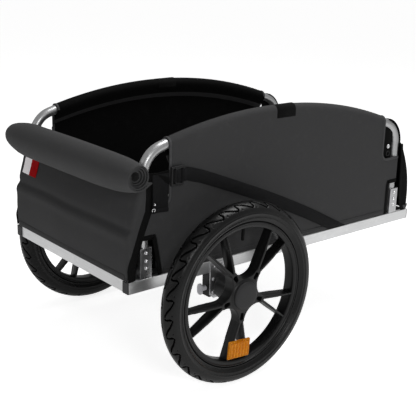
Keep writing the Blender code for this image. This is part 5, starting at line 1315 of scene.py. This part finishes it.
def rollSwell(y, angle):
    # shared by every turn, so that the layers keep their distance
    amount, length = roll["narrow"]
    near = 1 - amount * math.exp(-(y - roll["near"]) / length)
    far = alongLine(roll["dome"], y)
    soft = roll["lumps"] * noise.noise(Vector((y * 7, math.cos(angle), math.sin(angle))))
    drag = 0.0
    amount, width = roll["wrinkles"]
    for tubeY in (-frameTube["y"], frameTube["y"]):
        away = (y - tubeY) / width
        drag += amount * math.exp(-away * away) * math.sin(angle * 2 + 60 * (y - tubeY))
    return near * far * (1 + soft + 0.5 * drag)


def rollSpot(turn, share):
    angle = -math.radians(roll["startAngle"]) - 2 * math.pi * turn
    wander = roll["nearWander"] * noise.noise(Vector((turn * 2.1, 0, 5)))
    near = roll["near"] + roll["nearStep"] * turn + wander
    first, part, short = roll["inner"]
    inside = min(1.0, max(0.0, (turn - first) / part))
    far = roll["far"] - short * inside * inside * (3 - 2 * inside) - roll["farStep"] * turn
    y = near + (far - near) * share
    radius = (roll["radius"] - roll["thickness"] / 2 - roll["pitch"] * turn) * rollSwell(y, angle)
    amount, length = roll["ahead"]
    ahead = amount * math.exp(-(y - roll["near"]) / length)
    return (roll["x"] + ahead + radius * math.cos(angle), y, roll["z"] + radius * math.sin(angle))


grid = []
turns = [math.pi * r / roll["rows"] for r in range(roll["rows"] + 1)]
# rows stand closer together at both ends
shares = [0.5 - 0.5 * math.cos(turn) * (1 - 0.25 * math.sin(turn) ** 2) for turn in turns]
for k in range(roll["tailSteps"], 0, -1):
    tail = roll["tail"] * k / roll["tailSteps"]
    grid.append([(p[0] + 0.866 * tail, p[1], p[2] + 0.5 * tail) for p in (rollSpot(0, s) for s in shares)])
for k in range(int(roll["turns"] * roll["perTurn"]) + 1):
    grid.append([rollSpot(k / roll["perTurn"], s) for s in shares])
us, vs = running([column[50] for column in grid]), running(grid[20])
cover = gridSheet("coverRoll", grid, us, vs, roll["thickness"])
rounded(cover, roll["edge"], 2, 60)
dress(shade(cover, 60), "litRollCloth", "bed", ["cover_roll"])
lowered(cover)
print("cover roll flat", round(us[-1], 3), round(vs[-1], 3))

# floor panel
floorPanel = {"edge": 0.0008, "rimInset": 0.005, "rimWidth": 0.010, "rimThickness": 0.0012,
              "rimLift": -0.0002, "rimSteps": 24}
floor = softened("floor_panel", floorPanel["edge"])
dress(floor, "floorCloth", "bed", ["floor_panel"])
low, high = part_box("floor_panel")
inset, steps = floorPanel["rimInset"], floorPanel["rimSteps"]
rear, front, near, far = low[0] + inset, high[0] - inset, low[1] + inset, high[1] - inset
ring = [Vector((x, y, high[2])) for x, y in ((front, near), (front, far), (rear, far), (rear, near))]
rims = []
for start, stop in zip(ring, ring[1:] + ring[:1]):
    path = [start.lerp(stop, k / steps) for k in range(steps + 1)]
    rims.append(tape("floorRim", path, (0, 0, 1), floorPanel["rimWidth"], floorPanel["rimThickness"],
                     floorPanel["rimLift"]))
dress(merged("floorBinding", rims), "bindingTape", "bed")
print("cloth pieces done")


# wheels, modelled once about their own axle, local Z away from the bed
# outline and cavity: (radius, height); cuts: from where to where the zigzag runs, from the tread's middle
# dot: share of a repeat, place across, size and depth; wallRings: radius, height and width of each ring
tyre = {"radius": 0.2, "steps": 960, "repeats": 30, "groove": 0.0018, "depth": 0.0024,
        "cuts": (0.0035, 0.0225), "sweepWidth": 0.0185, "shifts": (0.10, 0.60), "cutEase": 0.0012,
        "dot": (0.80, 0.0205, 0.0014, 0.0011),
        "outline": ((0.1550, 0.0118), (0.1600, 0.0136), (0.1680, 0.0205), (0.1780, 0.0240),
                    (0.1890, 0.0212), (0.1968, 0.0122), (0.2000, 0.0)),
        "cavity": ((0.1550, 0.0095), (0.1700, 0.0180), (0.1780, 0.0208), (0.1900, 0.0145), (0.1950, 0.0)),
        "outlineSpacing": 0.0017, "cavitySpacing": 0.0120, "tread": 0.1788, "treadSamples": 0.1785,
        "middle": 0.178,
        "wallRings": ((0.1622, 0.0016, 0.0011), (0.1712, 0.0011, 0.0012), (0.1775, 0.0009, 0.0010)),
        "grooveShadeFrom": 0.20}


def bothSides(points):   # (radius, height) from the outer side to the inner one
    return list(points) + [(r, -h) for r, h in reversed(points[:-1])]


def treadDepth(along, across):
    # along in repeats, across in metres from the crown; how deep the rubber is cut there
    pitch = 2 * math.pi * tyre["radius"] / tyre["repeats"]
    side = np.abs(across)
    start = np.where(across > 0, *tyre["shifts"])
    low, high = tyre["cuts"]
    share = np.clip((side - low) / tyre["sweepWidth"], 0, 1)
    wave = np.sin(2 * math.pi * share)

    def beside(centre):   # distance along the tread from the nearest repeat of a line
        return np.abs((along - start - centre + 0.5) % 1.0 - 0.5) * pitch

    def carve(centre, width, depth):
        inside = np.clip((side - low) / tyre["cutEase"], 0, 1)
        inside = inside * np.clip((high - side) / tyre["cutEase"], 0, 1)
        edge = np.clip(1.6 * (1 - beside(centre) / width), 0, 1)
        return depth * inside * edge * edge * (3 - 2 * edge)

    steep = carve(0.10 * share + 0.05 * wave, tyre["groove"] * 1.1, tyre["depth"])
    gentle = carve(-0.90 * share - 0.04 * wave, tyre["groove"] * 2.1, tyre["depth"] * 0.9)
    centre, out, size, depth = tyre["dot"]
    dot = np.hypot(beside(centre), side - out)
    return np.maximum(np.maximum(steep, gentle), depth * np.clip(1.5 - dot / size, 0, 1))


def throughProfile(points, spacing):
    return [(p[0], p[1]) for p in curvedThrough([(r, h, 0) for r, h in bothSides(points)], spacing)]


def tyreShape():
    outer = throughProfile(tyre["outline"], tyre["outlineSpacing"])
    inner = throughProfile(tyre["cavity"], tyre["cavitySpacing"])
    obj = turnedAbout("tyre", outer + inner[::-1], tyre["steps"], closed=True)
    count = len(obj.data.vertices)
    spots = np.zeros(count * 3)
    normals = np.zeros(count * 3)
    obj.data.vertices.foreach_get("co", spots)
    obj.data.vertices.foreach_get("normal", normals)
    spots, normals = spots.reshape(-1, 3), normals.reshape(-1, 3)
    radius = np.hypot(spots[:, 0], spots[:, 1])
    angle = np.arctan2(spots[:, 1], spots[:, 0]) / (2 * math.pi) * tyre["repeats"]
    line = [Vector((r, h, 0)) for r, h in outer]
    lengths = running(line)
    middle = min(range(len(line)), key=lambda i: abs(line[i].y))
    kept = [i for i in range(len(line)) if line[i].x > tyre["treadSamples"]][::-1]
    sampleH = np.array([line[i].y for i in kept])
    sampleT = np.array([lengths[middle] - lengths[i] for i in kept])
    crown = radius > tyre["tread"]
    across = np.where(crown, np.interp(spots[:, 2], sampleH, sampleT), 1.0)
    spokes = np.stack([spots[:, 0] / radius, spots[:, 1] / radius, spots[:, 2] * 0], 1)
    outwards = np.einsum("ij,ij->i", normals, spokes)
    outside = outwards * (radius - tyre["middle"]) + normals[:, 2] * spots[:, 2] > 0
    push = np.where(crown & outside, -treadDepth(angle, across), 0.0)
    wall = outside & (radius < tyre["tread"])
    for at, tall, wide in tyre["wallRings"]:
        push += np.where(wall, tall * np.exp(-((radius - at) / wide) ** 2), 0.0)
    spots += normals * push[:, None]
    obj.data.vertices.foreach_set("co", spots.ravel())
    corners = np.zeros(len(obj.data.loops), dtype=int)
    obj.data.loops.foreach_get("vertex_index", corners)
    tyre["cutFaces"] = (push[corners.reshape(-1, 4)].mean(1) < -tyre["grooveShadeFrom"] * tyre["depth"]).astype(int)
    obj.data.update()
    return shade(obj, 45)


# blade, slot and the parts of the lens are blocks between two corners; profiles are (radius, height)
wheel = {"place": (-0.200, 0.293, 0.200), "pairs": 5, "phase": math.radians(-23.1), "fork": 0.050,
         "spread": math.radians(16.0), "rimReach": 0.1500, "rimGap": 0.0050, "fillet": 0.0351,
         "filletAt": 0.0726, "blade": ((0.0055, -0.0040, -0.0100), (0.0040, 0.0168)), "slotAt": 0.0555,
         "slotFlare": 1.55, "slot": ((0.0400, -0.0036, -0.006), (0.0560, 0.0036, 0.05)),
         "starRadius": 0.0600, "starDepth": 0.0262, "starMiddle": 0.0037,
         "hub": ((0.0140, 0.0195), (0.0335, 0.0195), (0.0352, 0.0180), (0.0352, 0.0120), (0.0325, 0.0040),
                 (0.0298, -0.0200), (0.0278, -0.0480), (0.0262, -0.0532), (0.0108, -0.0532),
                 (0.0108, 0.0100), (0.0140, 0.0105)),
         "rim": ((0.1590, 0.0165), (0.1583, 0.0171), (0.1572, 0.0172), (0.1564, 0.0164), (0.1558, 0.0154),
                 (0.1550, 0.0150), (0.1530, 0.0152), (0.1496, 0.0146), (0.1478, 0.0134), (0.1468, 0.0112),
                 (0.1464, 0.0070), (0.1462, 0.0)),
         "rimBed": ((0.1590, 0.0142), (0.1560, 0.0136), (0.1545, 0.0128), (0.1540, 0.0060), (0.1540, 0.0)),
         "grain": 0.0011, "quickGrain": 0.0017}
hubCap = ((0, 0.0252), (0.0120, 0.02515), (0.0220, 0.0249), (0.0262, 0.0245), (0.0288, 0.0237),
          (0.0302, 0.0225), (0.0309, 0.0210), (0.0310, 0.0198), (0.0306, 0.0196), (0, 0.0196))
valve = {"foot": ((0, 0.1165), (0.0026, 0.1165), (0.0034, 0.1172), (0.0036, 0.1182)), "ribs": 4,
         "ribAt": 0.1188, "ribPitch": 0.0017,
         "rib": ((0.0036, 0), (0.0033, 0.0004), (0.0033, 0.0009), (0.0036, 0.0013)),
         "stem": ((0.0036, 0.1262), (0.0027, 0.1268), (0.0027, 0.1290), (0.0034, 0.1300), (0.0037, 0.1380),
                  (0.0043, 0.1440), (0.0062, 0.1462), (0.0064, 0.1475), (0, 0.1476)),
         "turn": math.radians(88)}
lens = {"body": ((-0.0300, -0.0205, 0.0137), (0.0300, 0.0205, 0.0184)), "corner": 0.0042,
        "clip": ((-0.0090, 0.0172, 0.0152), (0.0090, 0.0300, 0.0300)),
        "edges": (((-0.0285, 0.0165, 0.0160), (-0.0105, 0.0190, 0.0196)),
                  ((0.0105, 0.0165, 0.0160), (0.0285, 0.0190, 0.0196)),
                  ((-0.0285, -0.0190, 0.0160), (0.0285, -0.0165, 0.0196)),
                  ((-0.0288, -0.0185, 0.0160), (-0.0262, 0.0185, 0.0196)),
                  ((0.0262, -0.0185, 0.0160), (0.0288, 0.0185, 0.0196))), "edgeRounding": 0.0008, "ribs": 6,
        "ribRadius": 0.0042, "ribLength": 0.0318, "ribPlace": (-0.0215, 0.0, 0.0168), "ribPitch": 0.0086,
        "lug": ((-0.0105, -0.0120, 0.0020), (0.0105, 0.0120, 0.0140)), "lugRounding": 0.0010, "spoke": 4,
        "reach": 0.1205}


def spokeAngle(index):
    return wheel["phase"] + 2 * math.pi * index / wheel["pairs"]


def resized(obj, test, size, centre=(0, 0, 0)):   # scales the vertices that pass the test
    pick(obj)
    bpy.ops.object.mode_set(mode="EDIT")
    bpy.ops.mesh.select_mode(type="VERT")
    bpy.ops.mesh.select_all(action="DESELECT")
    work = bmesh.from_edit_mesh(obj.data)
    for vertex in work.verts:
        vertex.select_set(bool(test(vertex.co)))
    work.select_flush_mode()
    bmesh.update_edit_mesh(obj.data)
    bpy.ops.transform.resize(value=size, center_override=centre)
    return doneEditing(obj)


def bladeShape(name, sign, index):
    # a deep tapering blade from the fork to the rim
    end = (wheel["rimReach"] - wheel["fork"]) / math.cos(wheel["spread"]) - wheel["rimGap"]
    low, high = wheel["blade"]
    obj = block(name, low, (end, *high))
    applied(obj, "SUBSURF", levels=2, render_levels=2, subdivision_type="SIMPLE")
    resized(obj, lambda spot: spot.z > 0.0100, (1, 0.68, 1))
    resized(obj, lambda spot: spot.x > end * 0.55, (1, 0.86, 0.95))
    resized(obj, lambda spot: spot.x > end * 0.80, (1, 0.92, 0.92))
    obj.data.transform(Matrix.Rotation(spokeAngle(index), 4, "Z") @ Matrix.Translation((wheel["fork"], 0, 0))
                       @ Matrix.Rotation(sign * wheel["spread"], 4, "Z"))
    return obj


def slotTool(index):
    # a pocket that narrows towards the hub
    obj = block("slot", *wheel["slot"])
    resized(obj, lambda spot: spot.x > 0.05, (1, wheel["slotFlare"], 1), (wheel["slotAt"], 0, 0))
    obj.data.transform(Matrix.Rotation(spokeAngle(index), 4, "Z"))
    return obj


def spiderShape():
    # hub, star and blades grown together with soft hollows between them
    star = settle(primitive("cylinder", "star", radius=wheel["starRadius"], depth=wheel["starDepth"],
                            vertices=96, location=(0, 0, wheel["starMiddle"])))
    for i in range(wheel["pairs"]):
        angle = wheel["phase"] + math.pi / wheel["pairs"] + 2 * math.pi * i / wheel["pairs"]
        place = (wheel["filletAt"] * math.cos(angle), wheel["filletAt"] * math.sin(angle), 0)
        hollow = primitive("cylinder", "hollow", radius=wheel["fillet"], depth=0.1, vertices=72,
                           location=place)
        cut(star, settle(hollow))
        cut(star, slotTool(i))
    hub = turnedAbout("hub", wheel["hub"], 72, closed=True)
    blades = [bladeShape("blade", sign, i) for i in range(wheel["pairs"]) for sign in (-1, 1)]
    obj = merged("spider", [star, hub] + blades)
    applied(obj, "REMESH", mode="VOXEL", voxel_size=wheel["grain"],
            use_smooth_shade=True)
    applied(obj, "SMOOTH", factor=0.5, iterations=5)
    applied(obj, "DECIMATE", ratio=0.30)
    return shade(obj, 60)


def rimShape():
    profile = bothSides(wheel["rim"]) + bothSides(wheel["rimBed"])[::-1]
    return shade(turnedAbout("rim", profile, 256, closed=True), 24)


def valveShape():
    # rubber-covered stem with a ribbed dust cap, along a radius of the wheel from its cap out to the rim
    profile = list(valve["foot"])
    for k in range(valve["ribs"]):
        z = valve["ribAt"] + valve["ribPitch"] * k
        profile += [(radius, z + up) for radius, up in valve["rib"]]
    obj = turnedAbout("valve", profile + list(valve["stem"]), 28)
    obj.data.transform(Matrix.Rotation(valve["turn"], 4, "Z") @ Matrix.Rotation(math.pi / 2, 4, "Y"))
    return shade(obj, 40)


def lensShape():
    # ribbed lens in a rounded frame, with the clip slot towards the hub and a lug between two blades
    body = rounded(block("lens", *lens["body"]), lens["corner"], 5, 60)
    cut(body, block("clip", *lens["clip"]))
    rims = [block("edge", *corners) for corners in lens["edges"]]
    rims = [rounded(rim, lens["edgeRounding"]) for rim in rims]
    ribs = []
    x, y, z = lens["ribPlace"]
    for k in range(lens["ribs"]):
        rib = primitive("cylinder", "rib", radius=lens["ribRadius"], depth=lens["ribLength"], vertices=32,
                        rotation=(math.pi / 2, 0, 0), location=(x + lens["ribPitch"] * k, y, z))
        ribs.append(settle(rib))
    lug = rounded(block("lug", *lens["lug"]), lens["lugRounding"])
    obj = merged("lensBody", [body] + rims + ribs + [lug])
    obj.data.transform(Matrix.Rotation(spokeAngle(lens["spoke"]) + math.pi / 2, 4, "Z")
                       @ Matrix.Translation((0, -lens["reach"], 0)))
    return shade(obj, 35)


patterns = {"tyre": (tyreShape(), "tyreRubber", "tyre_rubber"),
            "wheel": (merged("wheelBody", [spiderShape(), rimShape()]), "wheelNylon", "wheel_plastic"),
            "hub_cap": (shade(turnedAbout("cap", hubCap, 96), 30), "hubNylon", "black_plastic"),
            "valve": (valveShape(), "softRubber", "tube_rubber"),
            "wheel_reflector": (lensShape(), "amberLens", "amber_lens")}
print("wheel shapes:", {name: len(obj.data.polygons) for name, (obj, _, _) in patterns.items()})
for side, sign in sides:
    put = Matrix.Translation(mirrored(wheel["place"], sign)) @ Matrix.Rotation(outward[sign], 4, "X")
    for name, (obj, look, slot) in patterns.items():
        made = copyOf(obj, name + "_shaped_" + side, put)
        stands = [name + "_" + side] if name != "valve" else []
        dress(made, look, side + "_wheel", stands)
        if name == "tyre":   # the bottoms of the tread's cuts get painted shade: a darker, duller rubber
            made.data.materials.append(finish["tyreGrooveShade"])
            made.data.polygons.foreach_set("material_index", tyre["cutFaces"])
for obj, _, _ in patterns.values():
    bpy.data.objects.remove(obj, do_unlink=True)
print("wheels in place")


# pale floor, soft light and the photo's camera
studio = {"floor": {"size": 60, "level": -0.0005, "tones": ((0.93, 0.93, 0.925), (0.96, 0.96, 0.955)),
                    "rough": (0.75, 0.95), "bump": 0.05, "glow": 0.32, "seenGlow": 0.52},
          # place, where it points, size, power
          "lights": {"overheadLight": ((0.75, -0.35, 2.5), (0, 0, 0.2), (1.5, 1.2), 38),
                     "nearLight": ((-1.2, -2.6, 1.5), (0, 0, 0.3), (0.7, 0.5), 14),
                     "rearLight": ((-2.8, 0.6, 1.3), (0, 0, 0.3), (1.8, 1.5), 4)},
          "sky": {"level": 0.12, "seen": 0.88, "glossy": 0.30}}
view = {"place": (-1.3316, -1.5261, 0.8970), "yaw": 49.868, "pitch": 17.022, "roll": 1.526, "lens": 73.96,
        "sensor": 36.0, "clip": 0.05}


def floorFinish(has):
    made = bpy.data.materials.new("paleFloor")
    made.use_nodes = True
    tree = made.node_tree
    shader = tree.nodes["Principled BSDF"]
    source = tree.nodes.new("ShaderNodeTexCoord")
    cloud = clouds(tree, source.outputs["Object"], 3.0, 4.0)
    tree.links.new(blended(tree, cloud, *has["tones"]), shader.inputs["Base Color"])
    tree.links.new(spreadOut(tree, cloud, 0.0, 1.0, *has["rough"]), shader.inputs["Roughness"])
    bump = tree.nodes.new("ShaderNodeBump")
    bump.inputs["Strength"].default_value = has["bump"]
    tree.links.new(cloud, bump.inputs["Height"])
    tree.links.new(bump.outputs["Normal"], shader.inputs["Normal"])
    shader.inputs["Emission Color"].default_value = (1, 1, 1, 1)
    rays = tree.nodes.new("ShaderNodeLightPath")
    seen = calc(tree, "MULTIPLY", rays.outputs["Is Camera Ray"], has["seenGlow"])
    tree.links.new(calc(tree, "ADD", seen, has["glow"]), shader.inputs["Emission Strength"])
    return made


has = studio["floor"]
ground = primitive("plane", "studioFloor", size=has["size"], location=(0, 0, has["level"]))
ground.data.materials.append(floorFinish(has))

for name, (place, target, size, power) in studio["lights"].items():
    lamp = bpy.data.lights.new(name, "AREA")
    lamp.shape = "RECTANGLE"
    lamp.size, lamp.size_y = size
    lamp.energy = power
    obj = linked(name, lamp)
    obj.location = place
    obj.rotation_euler = (Vector(target) - Vector(place)).to_track_quat("-Z", "Y").to_euler()

world = bpy.data.worlds.new("whiteStudio")
bpy.context.scene.world = world
world.use_nodes = True
tree = world.node_tree
sky = tree.nodes["Background"]
rays = tree.nodes.new("ShaderNodeLightPath")
seen = calc(tree, "MAXIMUM", rays.outputs["Is Camera Ray"], rays.outputs["Is Transmission Ray"])
level = calc(tree, "ADD", calc(tree, "MULTIPLY", seen, studio["sky"]["seen"]), studio["sky"]["level"])
glossy = calc(tree, "MULTIPLY", rays.outputs["Is Glossy Ray"], studio["sky"]["glossy"])
tree.links.new(calc(tree, "ADD", level, glossy), sky.inputs["Strength"])
sky.inputs["Color"].default_value = (1, 1, 1, 1)

bpy.context.scene.view_settings.view_transform = "Standard"
yaw, pitch, tilt = (math.radians(view[name]) for name in ("yaw", "pitch", "roll"))
ahead = Vector((math.cos(yaw) * math.cos(pitch), math.sin(yaw) * math.cos(pitch), -math.sin(pitch)))
right = ahead.cross(Vector((0, 0, 1))).normalized()
up = right.cross(ahead)
right, up = right * math.cos(tilt) + up * math.sin(tilt), up * math.cos(tilt) - right * math.sin(tilt)
camera = bpy.data.cameras.new("photoCamera")
camera.lens = view["lens"]
camera.sensor_width = view["sensor"]
camera.clip_start = view["clip"]
eye = linked("photoCamera", camera)
eye.matrix_world = Matrix.Translation(view["place"]) @ Matrix((right, up, -ahead)).transposed().to_4x4()
bpy.context.scene.camera = eye
